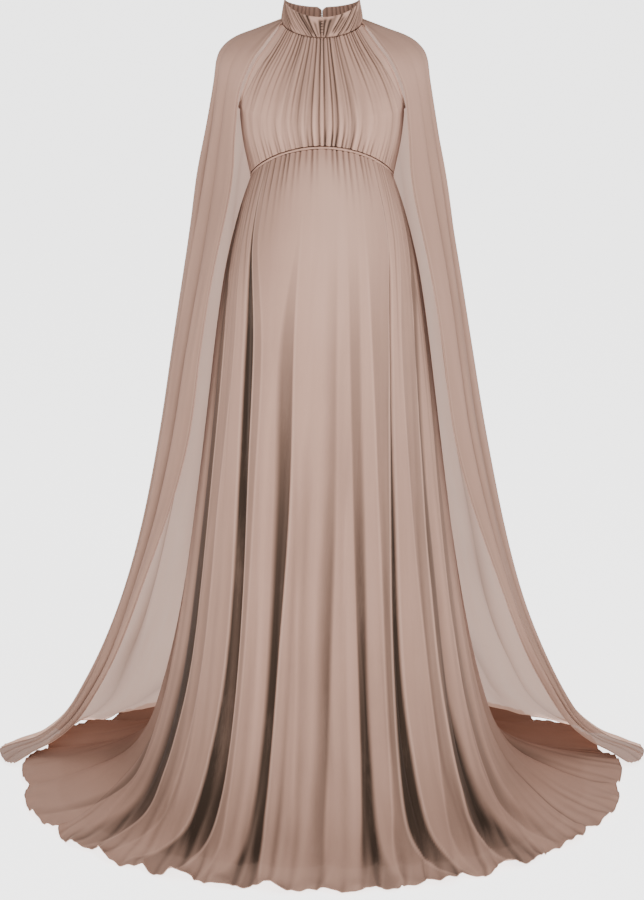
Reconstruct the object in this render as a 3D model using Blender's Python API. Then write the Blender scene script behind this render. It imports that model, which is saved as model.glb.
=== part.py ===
"""Long dress with a stand collar, a raised waist and a sheer cape that is open at the front.

The cloth is modelled as thin walls. Each wall follows a surface that is read from a short table of
sections, and the big folds are rounded ridges between the valleys that a second table lists.

Frame: metres, +Z up, the front faces -Y and +X is the wearer's left. The origin is the middle of the
neck at the seam of the collar. The tables give heights above the floor, and NECK_HEIGHT turns them
into Z.
"""

import math

import bmesh
import bpy
import numpy as np

NECK_HEIGHT = 1.415
SEAM_GAP = 0.0003
CAPE_CLOTH = 0.0015
DRESS_CLOTH = 0.0020
COLLAR_CLOTH = 0.0030
COLLAR_RUCHE = 0.0011
COLLAR_SLANT = 13.0
BINDING_RADIUS = 0.0016
BINDING_GAP = 0.0006
WAIST_CORD_RADIUS = 0.0019
WAIST_HEIGHT = 1.1461
WAIST_ARCH = 0.0656
WAIST_ARCH_POWER = 1.34
SEAM_ARCH_POWER = 1.30
SPREAD_POWER = 1.9
SMOOTH_STRIP = 0.86
RIDGE_POWER = 0.62
SCALLOP = 0.012

SKIRT_FRONT_STEPS = 6
SKIRT_BACK_STEPS = 4
CAPE_STEPS = 3
BODICE_FRONT_GATHERS = 28
BODICE_BACK_COLUMNS = 20
COLLAR_GATHERS = 36
COLLAR_ROWS = 5

DRESS_COLOUR = (0.37, 0.26, 0.215, 1.0)
CAPE_COLOUR = (0.46, 0.34, 0.29, 1.0)
TRIM_COLOUR = (0.33, 0.225, 0.185, 1.0)


class Table:
    """Rows of named columns, read smoothly between the rows."""

    def __init__(self, columns, rows):
        self.columns = columns.split()
        self.values = np.array(rows, float)
        self.count = len(rows)
        slopes = np.empty_like(self.values)
        slopes[1:-1] = (self.values[2:] - self.values[:-2]) / 2.0
        slopes[0] = self.values[1] - self.values[0]
        slopes[-1] = self.values[-1] - self.values[-2]
        self.slopes = slopes

    def at(self, row):
        """Return each column's value at a row number, which may lie between two rows."""
        row = np.asarray(row, float)
        low = np.clip(np.floor(row).astype(int), 0, self.count - 2)
        t = (row - low)[..., None]
        p0 = self.values[low]
        p1 = self.values[low + 1]
        m0 = self.slopes[low]
        m1 = self.slopes[low + 1]
        value = (p0 * (1 + 2 * t) * (1 - t) ** 2 + m0 * t * (1 - t) ** 2
                 + p1 * t * t * (3 - 2 * t) + m1 * t * t * (t - 1))
        return {name: value[..., i] for i, name in enumerate(self.columns)}

    def column(self, name):
        """Return one column as it stands."""
        return self.values[:, self.columns.index(name)]


# One row for each ring of the skirt, waist to hem. height is at the side seams and arch lifts the
# front. side and belly are the depths of the folds that start at the waist and below the belly. top
# and fan turn the folds from their places at mid height to those at the waist and at the hem. sink is
# how much of a fold lies inside the ring: on the floor it all stands up.
SKIRT_RINGS = Table(
    "height arch width front back side belly gather top fan sink", [
        (1.1437, 0.0656, 0.1300, 0.1500, 0.0840, 0.0004, 0.0000, 0.0014, 1.00, 0.00, 1.00),
        (1.1220, 0.0610, 0.1385, 0.1740, 0.0920, 0.0030, 0.0000, 0.0010, 1.00, 0.00, 1.00),
        (1.0850, 0.0520, 0.1510, 0.2020, 0.1010, 0.0065, 0.0000, 0.0004, 1.00, 0.00, 1.00),
        (1.0300, 0.0350, 0.1660, 0.2290, 0.1120, 0.0110, 0.0010, 0.0000, 0.95, 0.00, 1.00),
        (0.9650, 0.0150, 0.1800, 0.2450, 0.1280, 0.0145, 0.0035, 0.0000, 0.72, 0.00, 1.00),
        (0.8700, 0.0020, 0.1945, 0.2580, 0.1530, 0.0175, 0.0090, 0.0000, 0.50, 0.00, 1.00),
        (0.7400, 0.0000, 0.2110, 0.2780, 0.1870, 0.0205, 0.0150, 0.0000, 0.30, 0.00, 1.00),
        (0.5900, 0.0000, 0.2300, 0.3080, 0.2250, 0.0225, 0.0195, 0.0000, 0.10, 0.00, 1.00),
        (0.4400, 0.0000, 0.2510, 0.3430, 0.2620, 0.0235, 0.0225, 0.0000, 0.00, 0.03, 1.00),
        (0.3000, 0.0000, 0.2750, 0.3790, 0.2980, 0.0240, 0.0240, 0.0000, 0.00, 0.12, 1.00),
        (0.1800, 0.0000, 0.3030, 0.4150, 0.3330, 0.0235, 0.0235, 0.0000, 0.00, 0.19, 0.95),
        (0.0900, 0.0000, 0.3340, 0.4480, 0.3660, 0.0210, 0.0210, 0.0000, 0.00, 0.22, 0.85),
        (0.0330, 0.0000, 0.3780, 0.4830, 0.3970, 0.0165, 0.0165, 0.0000, 0.00, 0.34, 0.50),
        (0.0100, 0.0000, 0.4550, 0.5320, 0.4180, 0.0120, 0.0120, 0.0000, 0.00, 0.68, 0.12),
        (0.0060, 0.0000, 0.5600, 0.5850, 0.4300, 0.0090, 0.0090, 0.0000, 0.00, 1.00, 0.00),
    ])

# One row for each valley between two folds, as angles round the ring from the front, degrees:
# where it lies at the waist, at mid height and at the hem. depth scales the fold, and waist is 1
# where it starts at the waist seam and 0 where it starts below the belly.
SKIRT_FRONT_VALLEYS = Table("top mid hem depth waist", [
    (-90.0, -90.0, -58.0, 0.80, 1.00),
    (-76.0, -70.0, -45.0, 0.80, 1.00),
    (-64.0, -55.0, -34.0, 0.50, 0.90),
    (-53.0, -37.0, -23.5, 1.25, 1.00),
    (-13.0, -19.3, -12.2, 1.05, 0.00),
    (8.0, 2.0, -0.5, 0.60, 0.00),
    (28.0, 16.3, 9.9, 0.85, 0.10),
    (38.0, 24.5, 14.0, 0.40, 0.50),
    (47.0, 32.3, 18.5, 1.20, 1.00),
    (57.0, 44.0, 25.5, 0.45, 0.90),
    (67.0, 57.0, 33.0, 0.85, 1.00),
    (79.0, 73.0, 45.0, 0.60, 1.00),
    (90.0, 90.0, 58.0, 0.80, 1.00),
])

SKIRT_BACK_VALLEYS = Table("top mid hem depth waist", [
    (90.0, 90.0, 58.0, 0.80, 1.00),
    (107.0, 107.0, 81.0, 0.90, 1.00),
    (126.0, 124.0, 104.0, 0.70, 1.00),
    (143.0, 142.0, 129.0, 1.00, 1.00),
    (160.0, 161.0, 154.0, 0.80, 1.00),
    (179.0, 178.0, 178.0, 0.95, 1.00),
    (198.0, 197.0, 204.0, 0.75, 1.00),
    (215.0, 216.0, 230.0, 1.00, 1.00),
    (234.0, 234.0, 255.0, 0.80, 1.00),
    (253.0, 252.0, 279.0, 0.90, 1.00),
    (270.0, 270.0, 302.0, 0.80, 1.00),
])

# One row for each level of the bodice, collar to waist, for the right-hand edge and the middle of
# the front. round is the power of the curve between them, 0.5 for an ellipse.
BODICE_FRONT = Table("edge_x edge_y edge_height mid_y mid_height round gather", [
    (0.0700, -0.0215, 1.4181, -0.0660, 1.3972, 0.72, 0.0013),
    (0.0830, -0.0440, 1.4000, -0.0880, 1.3745, 0.78, 0.0012),
    (0.0980, -0.0650, 1.3800, -0.1080, 1.3520, 0.82, 0.0009),
    (0.1133, -0.0760, 1.3600, -0.1260, 1.3290, 0.82, 0.0006),
    (0.1275, -0.0740, 1.3330, -0.1420, 1.3070, 0.78, 0.0004),
    (0.1385, -0.0610, 1.3040, -0.1540, 1.2860, 0.68, 0.0003),
    (0.1455, -0.0330, 1.2800, -0.1600, 1.2670, 0.58, 0.0003),
    (0.1480, -0.0002, 1.2660, -0.1620, 1.2510, 0.50, 0.0005),
    (0.1435, -0.0002, 1.2150, -0.1590, 1.2350, 0.50, 0.0009),
    (0.1302, -0.0002, 1.1488, -0.1505, 1.2148, 0.50, 0.0014),
])

BODICE_BACK = Table("edge_x edge_y edge_height mid_y mid_height round gather", [
    (0.0700, 0.0190, 1.4226, 0.0592, 1.4172, 0.72, 0.0),
    (0.0780, 0.0330, 1.4040, 0.0690, 1.4010, 0.76, 0.0),
    (0.0880, 0.0430, 1.3830, 0.0780, 1.3790, 0.80, 0.0),
    (0.0990, 0.0490, 1.3600, 0.0850, 1.3550, 0.80, 0.0),
    (0.1120, 0.0480, 1.3330, 0.0900, 1.3290, 0.76, 0.0),
    (0.1260, 0.0400, 1.3040, 0.0930, 1.3020, 0.70, 0.0),
    (0.1400, 0.0240, 1.2790, 0.0940, 1.2780, 0.58, 0.0),
    (0.1480, 0.0002, 1.2660, 0.0935, 1.2600, 0.50, 0.0),
    (0.1435, 0.0002, 1.2150, 0.0890, 1.2150, 0.50, 0.0),
    (0.1302, 0.0002, 1.1488, 0.0845, 1.1488, 0.50, 0.0),
])

# One row for each level of the cape, collar to hem: the widest point, the front edge and the middle
# of the back. fold is the depth of the soft folds and sink their share inside the level's curve.
# spread turns the back from an ellipse into the flatter sweep that it has on the floor.
CAPE_LEVELS = Table(
    "side_x side_y side_height edge_x edge_y edge_height back_y back_height fold sink spread", [
        (0.0746, 0.000, 1.4275, 0.0713, -0.0199, 1.4225, 0.0614, 1.4205, 0.0000, 1.0, 0.00),
        (0.1180, 0.000, 1.4110, 0.0890, -0.0430, 1.4045, 0.0840, 1.4030, 0.0003, 1.0, 0.00),
        (0.1550, 0.000, 1.3970, 0.1045, -0.0640, 1.3850, 0.1000, 1.3750, 0.0008, 1.0, 0.00),
        (0.1780, 0.000, 1.3800, 0.1200, -0.0750, 1.3650, 0.1100, 1.3480, 0.0012, 1.0, 0.00),
        (0.1900, 0.000, 1.3580, 0.1345, -0.0730, 1.3370, 0.1160, 1.3200, 0.0018, 1.0, 0.00),
        (0.1965, 0.001, 1.3150, 0.1490, -0.0560, 1.2950, 0.1200, 1.2850, 0.0028, 1.0, 0.00),
        (0.2100, 0.003, 1.2350, 0.1565, -0.0560, 1.2250, 0.1250, 1.2200, 0.0042, 1.0, 0.00),
        (0.2285, 0.006, 1.1400, 0.1640, -0.0720, 1.1370, 0.1350, 1.1350, 0.0060, 1.0, 0.00),
        (0.2500, 0.008, 1.0000, 0.1905, -0.0910, 1.0000, 0.1590, 1.0000, 0.0080, 1.0, 0.00),
        (0.2765, 0.010, 0.8400, 0.2195, -0.0980, 0.8400, 0.1930, 0.8400, 0.0100, 1.0, 0.00),
        (0.3040, 0.012, 0.6750, 0.2500, -0.0965, 0.6750, 0.2320, 0.6750, 0.0115, 1.0, 0.00),
        (0.3380, 0.016, 0.5100, 0.2940, -0.0840, 0.5100, 0.2730, 0.5100, 0.0125, 1.0, 0.00),
        (0.3750, 0.023, 0.3700, 0.3400, -0.0580, 0.3700, 0.3120, 0.3700, 0.0130, 1.0, 0.00),
        (0.4140, 0.036, 0.2600, 0.3840, -0.0240, 0.2600, 0.3450, 0.2600, 0.0125, 1.0, 0.12),
        (0.4550, 0.052, 0.1700, 0.4260, 0.0120, 0.1700, 0.3760, 0.1700, 0.0110, 0.9, 0.25),
        (0.4970, 0.072, 0.0950, 0.4700, 0.0420, 0.0950, 0.4060, 0.0950, 0.0090, 0.7, 0.42),
        (0.5450, 0.095, 0.0480, 0.5170, 0.0600, 0.0480, 0.4400, 0.0480, 0.0070, 0.3, 0.62),
        (0.5960, 0.110, 0.0220, 0.5660, 0.0650, 0.0230, 0.4720, 0.0230, 0.0060, 0.1, 0.78),
        (0.6280, 0.115, 0.0060, 0.5940, 0.0600, 0.0060, 0.5000, 0.0060, 0.0050, 0.0, 0.85),
    ])

# One row for each valley of the cape's folds. place runs from -2 at the left front edge over -1 at
# the left side seam, 0 at the middle of the back and 1 at the right side seam to 2 at the right edge.
CAPE_VALLEYS = Table("place depth", [
    (-2.00, 0.30),
    (-1.68, 0.80),
    (-1.34, 0.95),
    (-1.00, 0.80),
    (-0.83, 0.80),
    (-0.65, 1.00),
    (-0.47, 0.80),
    (-0.29, 1.00),
    (-0.11, 0.80),
    (0.10, 0.90),
    (0.27, 1.00),
    (0.46, 0.80),
    (0.63, 1.00),
    (0.82, 0.80),
    (1.00, 0.80),
    (1.33, 0.95),
    (1.67, 0.80),
    (2.00, 0.30),
])

# One row for each edge of the collar: the ring's half width, its depth to front and back, and its
# height at the sides with the drops at front and back.
COLLAR_EDGES = Table("width front back height front_drop back_drop", [
    (0.0738, 0.0662, 0.0600, 1.4250, 0.0270, 0.0070),
    (0.0732, 0.0656, 0.0598, 1.4335, 0.0270, 0.0085),
    (0.0715, 0.0644, 0.0592, 1.4425, 0.0270, 0.0105),
    (0.0698, 0.0630, 0.0584, 1.4515, 0.0275, 0.0130),
    (0.0680, 0.0614, 0.0574, 1.4600, 0.0280, 0.0155),
])


def ridge(valleys, place):
    """Return how far each place is up its fold, 0 in a valley and 1 on top of a rounded ridge."""
    low = np.clip(np.searchsorted(valleys, place, side="right") - 1, 0, len(valleys) - 2)
    across = (place - valleys[low]) / (valleys[low + 1] - valleys[low])
    return np.sin(math.pi * np.clip(across, 0.0, 1.0)) ** RIDGE_POWER


def signed_power(value, power):
    """Return value to a power with its sign kept."""
    return np.sign(value) * np.abs(value) ** power


class Surface:
    """A cloth surface that is read by level, s, and by place across the cloth, u."""

    STEP_S = 0.04
    STEP_U = 0.02

    def base(self, s, u):
        """Return the points of the surface without its folds."""
        raise NotImplementedError

    def fold(self, s, u):
        """Return how far the folds stand out from the plain surface."""
        return np.zeros(np.broadcast(s, u).shape)

    def slope_normal(self, read, s, u, step_u):
        """Return unit normals from differences of a surface function."""
        along = read(s + self.STEP_S, u) - read(s - self.STEP_S, u)
        across = read(s, u + step_u) - read(s, u - step_u)
        normal = np.cross(across, along)
        return self.OUTWARD * normal / np.linalg.norm(normal, axis=-1, keepdims=True)

    def point(self, s, u):
        """Return the points of the folded surface."""
        flat = self.slope_normal(self.base, s, u, self.STEP_U)
        return self.base(s, u) + flat * self.fold(s, u)[..., None]

    def normal(self, s, u):
        """Return the outward normals of the folded surface."""
        return self.slope_normal(self.point, s, u, self.STEP_U)


class Skirt(Surface):
    """The whole skirt; u is the fold's angle at mid height in degrees, 0 at the front."""

    OUTWARD = -1.0
    STEP_U = 0.8

    def __init__(self):
        front = SKIRT_FRONT_VALLEYS.values
        back = SKIRT_BACK_VALLEYS.values
        left = front[:-1].copy()
        left[:, :3] += 360.0
        wrapped = back[:-1].copy()
        wrapped[:, :3] -= 360.0
        self.valleys = np.vstack([wrapped, front[:-1], back[:-1], left])

    def angle(self, s, u):
        """Return the angle round the ring, in radians, of fold angle u at level s."""
        row = SKIRT_RINGS.at(s)
        mid = self.valleys[:, 1]
        top = np.interp(u, mid, self.valleys[:, 0])
        hem = np.interp(u, mid, self.valleys[:, 2])
        return np.radians(u + (top - u) * row["top"] + (hem - u) * row["fan"])

    def base(self, s, u):
        s, u = np.broadcast_arrays(s, u)
        row = SKIRT_RINGS.at(s)
        angle = self.angle(s, u)
        ahead = np.cos(angle)
        depth = np.where(ahead > 0.0, row["front"], row["back"])
        lift = row["arch"] * np.maximum(ahead, 0.0) ** WAIST_ARCH_POWER
        reach = 1.0 + SCALLOP / row["width"] * self.ridge(u) * (1.0 - row["sink"]) ** 6
        return np.stack([row["width"] * reach * np.sin(angle), -depth * reach * ahead,
                         row["height"] + lift - NECK_HEIGHT], axis=-1)

    def ridge(self, u):
        """Return the ridge value of fold angle u."""
        return ridge(self.valleys[:, 1], u)

    def fold(self, s, u):
        s, u = np.broadcast_arrays(s, u)
        row = SKIRT_RINGS.at(s)
        mid = self.valleys[:, 1]
        depth = np.interp(u, mid, self.valleys[:, 3])
        waist = np.interp(u, mid, self.valleys[:, 4])
        size = depth * (waist * row["side"] + (1.0 - waist) * row["belly"])
        return size * (self.ridge(u) - row["sink"])


class Bodice(Surface):
    """Front or back of the bodice; u is an angle, -90 and 90 degrees at the two edges."""

    STEP_U = 0.8

    def __init__(self, table, outward):
        self.table = table
        self.OUTWARD = outward

    def base(self, s, u):
        s, u = np.broadcast_arrays(s, u)
        row = self.table.at(s)
        angle = np.radians(u)
        bulge = signed_power(np.cos(angle), 2.0 * row["round"])
        rise = signed_power(np.cos(angle), SEAM_ARCH_POWER)
        return np.stack([row["edge_x"] * np.sin(angle),
                         row["edge_y"] + (row["mid_y"] - row["edge_y"]) * bulge,
                         row["edge_height"] + (row["mid_height"] - row["edge_height"]) * rise
                         - NECK_HEIGHT], axis=-1)


class Cape(Surface):
    """The whole cape; u is the place of CAPE_VALLEYS."""

    OUTWARD = 1.0
    STEP_U = 0.012

    def base(self, s, u):
        s, u = np.broadcast_arrays(s, u)
        row = CAPE_LEVELS.at(s)
        edge_angle = np.arccos(row["edge_x"] / row["side_x"])
        front_depth = (row["side_y"] - row["edge_y"]) / np.sin(edge_angle)
        past_side = np.abs(u) - 1.0
        ahead = edge_angle * past_side
        behind = -0.5 * math.pi * past_side
        in_front = past_side > 0.0
        flat = 1.0 - np.abs(np.cos(behind)) ** SPREAD_POWER
        sweep = np.sin(behind) + (flat - np.sin(behind)) * row["spread"]
        x = row["side_x"] * np.where(in_front, np.cos(ahead), np.cos(behind))
        y = np.where(in_front, row["side_y"] - front_depth * np.sin(ahead),
                     row["side_y"] + (row["back_y"] - row["side_y"]) * sweep)
        far = np.abs(past_side) ** 1.5
        end = np.where(in_front, row["edge_height"], row["back_height"])
        height = row["side_height"] + (end - row["side_height"]) * far
        return np.stack([x * np.sign(u + 1e-12), y, height - NECK_HEIGHT], axis=-1)

    def fold(self, s, u):
        s, u = np.broadcast_arrays(s, u)
        row = CAPE_LEVELS.at(s)
        places = CAPE_VALLEYS.column("place")
        depth = np.interp(u, places, CAPE_VALLEYS.column("depth"))
        return row["fold"] * depth * (ridge(places, u) - row["sink"])


class Collar(Surface):
    """The stand collar; u is the angle in degrees, 0 at the front, and gathers slant outwards."""

    OUTWARD = 1.0
    STEP_U = 1.0

    def base(self, s, u):
        s, u = np.broadcast_arrays(s, u)
        row = COLLAR_EDGES.at(s)
        slant = COLLAR_SLANT * s / (COLLAR_ROWS - 1) * np.sign(u) * (1.0 - np.abs(u) / 180.0)
        angle = np.radians(u + slant)
        ahead = np.cos(angle)
        depth = np.where(ahead > 0.0, row["front"], row["back"])
        drop = np.where(ahead > 0.0, row["front_drop"], row["back_drop"])
        return np.stack([row["width"] * np.sin(angle), -depth * ahead,
                         row["height"] - drop * np.abs(ahead) ** 1.25 - NECK_HEIGHT], axis=-1)


def clear_scene():
    """Remove every object that the scene holds."""
    for item in list(bpy.data.objects):
        bpy.data.objects.remove(item, do_unlink=True)


def cloth_material(name, colour, roughness):
    """Return a Principled material of one colour."""
    material = bpy.data.materials.new(name)
    material.use_nodes = True
    shader = material.node_tree.nodes["Principled BSDF"]
    shader.inputs["Base Color"].default_value = colour
    shader.inputs["Roughness"].default_value = roughness
    shader.inputs["Metallic"].default_value = 0.0
    return material


def add_object(name, points, faces, material):
    """Add a mesh object with faces that point outwards."""
    mesh = bpy.data.meshes.new(name)
    mesh.from_pydata([tuple(point) for point in points], [], faces)
    shape = bmesh.new()
    shape.from_mesh(mesh)
    bmesh.ops.recalc_face_normals(shape, faces=shape.faces)
    shape.to_mesh(mesh)
    shape.free()
    mesh.shade_smooth()
    mesh.set_sharp_from_angle(angle=math.radians(60.0))
    mesh.materials.append(material)
    item = bpy.data.objects.new(name, mesh)
    bpy.context.scene.collection.objects.link(item)
    return item


def wall_faces(rows, columns):
    """Return the triangles of a closed wall whose outer grid comes before its inner grid."""
    inner = rows * columns
    faces = []

    def quad(a, b, c, d):
        faces.extend([(a, b, c), (a, c, d)])

    for r in range(rows - 1):
        for c in range(columns - 1):
            a = r * columns + c
            quad(a, a + 1, a + columns + 1, a + columns)
            faces.extend([(inner + a, inner + a + columns + 1, inner + a + 1),
                          (inner + a, inner + a + columns, inner + a + columns + 1)])
    for c in range(columns - 1):
        top = c
        bottom = (rows - 1) * columns + c
        quad(top + 1, top, inner + top, inner + top + 1)
        quad(bottom, bottom + 1, inner + bottom + 1, inner + bottom)
    for r in range(rows - 1):
        left = r * columns
        right = left + columns - 1
        quad(left, left + columns, inner + left + columns, inner + left)
        quad(right + columns, right, inner + right, inner + right + columns)
    return faces


def add_wall(name, surface, places, thickness, material, ripple=None):
    """Add a wall of cloth; places holds u for each level and column."""
    levels = np.arange(places.shape[0], dtype=float)[:, None] + np.zeros_like(places)
    outer = surface.point(levels, places)
    normals = surface.normal(levels, places)
    if ripple is not None:
        outer = outer + normals * ripple[..., None]
    inner = outer - normals * thickness
    rows, columns = places.shape
    points = np.vstack([outer.reshape(-1, 3), inner.reshape(-1, 3)])
    return add_object(name, points, wall_faces(rows, columns), material)


def fold_columns(valleys, steps):
    """Return places across the cloth, with a few steps in each fold."""
    parts = [np.linspace(a, b, steps, endpoint=False) for a, b in zip(valleys[:-1], valleys[1:])]
    return np.append(np.concatenate(parts), valleys[-1])


def with_seams(columns, rows, gaps):
    """Repeat the columns on each level and draw in both ends by half a seam's gap."""
    places = np.tile(columns, (rows, 1))
    places[:, 0] += gaps
    places[:, -1] -= gaps
    return places


def build_skirt(material):
    """Add the front and back of the skirt."""
    skirt = Skirt()
    rows = SKIRT_RINGS.count
    slant = 1.0 + 2.0 * SKIRT_RINGS.column("fan")
    gaps = np.degrees(0.5 * SEAM_GAP * slant / SKIRT_RINGS.column("width"))
    for name, table, steps in (("skirt_front", SKIRT_FRONT_VALLEYS, SKIRT_FRONT_STEPS),
                               ("skirt_back", SKIRT_BACK_VALLEYS, SKIRT_BACK_STEPS)):
        columns = fold_columns(table.column("mid"), steps)
        turn = np.where(np.arange(len(columns)) % 2 == 0, -0.5, 0.5)
        turn[[0, -1]] = 0.0
        ripple = SKIRT_RINGS.column("gather")[:, None] * turn
        add_wall(name, skirt, with_seams(columns, rows, gaps), DRESS_CLOTH, material, ripple)


def build_bodice(material):
    """Add the front and back of the bodice."""
    columns = np.linspace(-90.0, 90.0, 2 * BODICE_FRONT_GATHERS + 1)
    turn = np.where(np.arange(len(columns)) % 2 == 0, -0.5, 0.5)
    turn[np.abs(np.sin(np.radians(columns))) > SMOOTH_STRIP] = 0.0
    ripple = BODICE_FRONT.column("gather")[:, None] * turn
    front = Bodice(BODICE_FRONT, -1.0)
    add_wall("bodice_front", front, np.tile(columns, (BODICE_FRONT.count, 1)), DRESS_CLOTH,
             material, ripple)
    columns = np.linspace(-90.0, 90.0, BODICE_BACK_COLUMNS + 1)
    back = Bodice(BODICE_BACK, 1.0)
    add_wall("bodice_back", back, np.tile(columns, (BODICE_BACK.count, 1)), DRESS_CLOTH, material)


def build_cape(material):
    """Add the back and the two side panels of the cape."""
    cape = Cape()
    valleys = CAPE_VALLEYS.column("place")
    rows = CAPE_LEVELS.count
    gaps = np.full(rows, 0.5 * SEAM_GAP) / CAPE_LEVELS.column("side_x")
    for name, low, high in (("cape_left", -2.0, -1.0), ("cape_back", -1.0, 1.0),
                            ("cape_right", 1.0, 2.0)):
        own = valleys[(valleys >= low) & (valleys <= high)]
        places = with_seams(fold_columns(own, CAPE_STEPS), rows, gaps)
        add_wall(name, cape, places, CAPE_CLOTH, material)


def build_collar(material):
    """Add the gathered stand collar, open at the middle of the back."""
    collar = Collar()
    gap = math.degrees(SEAM_GAP / COLLAR_EDGES.column("back")[0])
    columns = np.linspace(-180.0 + gap, 180.0 - gap, 2 * COLLAR_GATHERS + 1)
    turn = np.where(np.arange(len(columns)) % 2 == 0, -0.5, 0.5)
    turn[[0, -1]] = -0.5
    ripple = np.full((COLLAR_ROWS, 1), COLLAR_RUCHE) * (turn - 0.5)
    places = np.tile(columns, (COLLAR_ROWS, 1))
    add_wall("collar", collar, places, COLLAR_CLOTH, material, ripple)


def tube(name, path, normals, radius, sides, closed, material):
    """Add a round tube along a path; normals fix how its sections are turned."""
    path = np.asarray(path)
    count = len(path)
    if closed:
        along = np.roll(path, -1, axis=0) - np.roll(path, 1, axis=0)
    else:
        along = np.gradient(path, axis=0)
    along /= np.linalg.norm(along, axis=1, keepdims=True)
    side = np.cross(along, normals)
    side /= np.linalg.norm(side, axis=1, keepdims=True)
    up = np.cross(side, along)
    turns = 2.0 * math.pi * np.arange(sides) / sides
    ring = np.cos(turns)[None, :, None] * side[:, None] + np.sin(turns)[None, :, None] * up[:, None]
    points = (path[:, None] + radius * ring).reshape(-1, 3)
    faces = []
    for i in range(count if closed else count - 1):
        for j in range(sides):
            a = i * sides + j
            b = i * sides + (j + 1) % sides
            c = ((i + 1) % count) * sides + (j + 1) % sides
            d = ((i + 1) % count) * sides + j
            faces.extend([(a, b, c), (a, c, d)])
    if not closed:
        faces.append(tuple(range(sides)))
        faces.append(tuple((count - 1) * sides + j for j in range(sides)))
    return add_object(name, points, faces, material)


def panel_edge(panel, last, side):
    """Return mid-wall points, outward directions and normals along one armhole edge of a panel."""
    levels = np.arange(last + 1.0)
    edge = np.full_like(levels, 90.0 * side)
    points = panel.point(levels, edge)
    normals = panel.normal(levels, edge)
    along = np.gradient(points, axis=0)
    out = np.cross(along, normals)
    out /= np.linalg.norm(out, axis=1, keepdims=True)
    out *= np.sign(out[len(out) // 2, 0] * side)
    return points - 0.5 * DRESS_CLOTH * normals, out, normals


def build_bindings(material):
    """Add the rolled bindings that lie along the armhole edges."""
    reach = BINDING_GAP + BINDING_RADIUS
    for name, side in (("armhole_binding_left", -1.0), ("armhole_binding_right", 1.0)):
        front, front_out, front_normal = panel_edge(Bodice(BODICE_FRONT, -1.0), 6, side)
        back, back_out, back_normal = panel_edge(Bodice(BODICE_BACK, 1.0), 6, side)
        under = np.array([side * (BODICE_FRONT.values[7][0] + 0.0012), 0.0,
                          BODICE_FRONT.values[7][2] + reach + 0.0008 - NECK_HEIGHT])
        path = np.vstack([(front + reach * front_out)[1:], under,
                          (back + reach * back_out)[:0:-1]])
        turned = np.vstack([front_normal[1:], (side, 0.0, 0.0), back_normal[:0:-1]])
        tube(name, path, turned, BINDING_RADIUS, 6, False, material)


def build_waist_cord(material):
    """Add the cord that covers the waist seam."""
    ring = SKIRT_RINGS.values[0]
    angle = np.radians(np.arange(0.0, 360.0, 7.5))
    ahead = np.cos(angle)
    depth = np.where(ahead > 0.0, ring[3], ring[4]) - 0.5 * DRESS_CLOTH
    height = WAIST_HEIGHT + WAIST_ARCH * np.maximum(ahead, 0.0) ** WAIST_ARCH_POWER - NECK_HEIGHT
    path = np.stack([(ring[2] - 0.5 * DRESS_CLOTH) * np.sin(angle), -depth * ahead, height], axis=-1)
    outwards = np.stack([np.sin(angle), -ahead, np.zeros_like(angle)], axis=-1)
    tube("waist_cord", path, outwards, WAIST_CORD_RADIUS, 6, True, material)


def build_closure(material):
    """Add the covered button and its thread loop at the middle of the collar's back."""
    button_radius = 0.0040
    dome = 0.0022
    seat = COLLAR_EDGES.column("back")[2] + SEAM_GAP
    height = COLLAR_EDGES.column("height")[2] - COLLAR_EDGES.column("back_drop")[2] - NECK_HEIGHT
    offset = 0.0052
    rings = []
    for lean in np.linspace(0.0, 0.5 * math.pi, 4)[:-1]:
        turns = np.radians(np.arange(0.0, 360.0, 30.0))
        rings.append(np.stack([offset + button_radius * math.cos(lean) * np.cos(turns),
                               np.full_like(turns, seat + 0.0012 + dome * math.sin(lean)),
                               height + button_radius * math.cos(lean) * np.sin(turns)], axis=-1))
    flat = rings[0].copy()
    flat[:, 1] = seat
    points = np.vstack([flat, *rings, [(offset, seat + 0.0012 + dome, height)]])
    count = len(flat)
    faces = [tuple(range(count))]
    for level in range(3):
        for j in range(count):
            k = (j + 1) % count
            a = level * count
            faces.append((a + j, a + k, a + count + k, a + count + j))
    for j in range(count):
        faces.append((3 * count + j, 3 * count + (j + 1) % count, 4 * count))
    add_object("collar_button", points, faces, material)
    turns = np.radians(np.linspace(-150.0, 150.0, 15))
    loop_radius = button_radius + 0.0009
    bend = np.stack([offset + loop_radius * np.cos(turns), np.full_like(turns, seat + 0.0009),
                     height + loop_radius * np.sin(turns)], axis=-1)
    tail = bend[0] + np.array([-0.0048, 0.0, 0.0012])
    head = bend[-1] + np.array([-0.0048, 0.0, -0.0012])
    path = np.vstack([tail, bend, head])
    tube("collar_loop", path, np.tile((0.0, 1.0, 0.0), (len(path), 1)), 0.0005, 6, False, material)


def main():
    """Build the dress."""
    clear_scene()
    dress = cloth_material("dress_chiffon", DRESS_COLOUR, 0.75)
    cape = cloth_material("cape_chiffon", CAPE_COLOUR, 0.70)
    trim = cloth_material("rolled_trim", TRIM_COLOUR, 0.65)
    build_collar(dress)
    build_closure(trim)
    build_bodice(dress)
    build_bindings(trim)
    build_waist_cord(trim)
    build_skirt(dress)
    build_cape(cape)


if __name__ == "__main__":
    main()
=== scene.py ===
"""Looks of a long chiffon dress with a gathered stand collar and an open-fronted sheer cape.

Each cloth piece is a fine sheet on the form of its solid, with its folds, tucks, creases and rolled
edges. Frame: metres, +Z up, the front faces -Y and +X is the wearer's left. The origin is the middle
of the neck at the seam of the collar. The tables give heights above the floor, and NECK_HEIGHT turns
them into Z.
"""

import logging
import math
from dataclasses import dataclass, field
from enum import Enum
from typing import Any, Callable, Sequence

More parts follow.
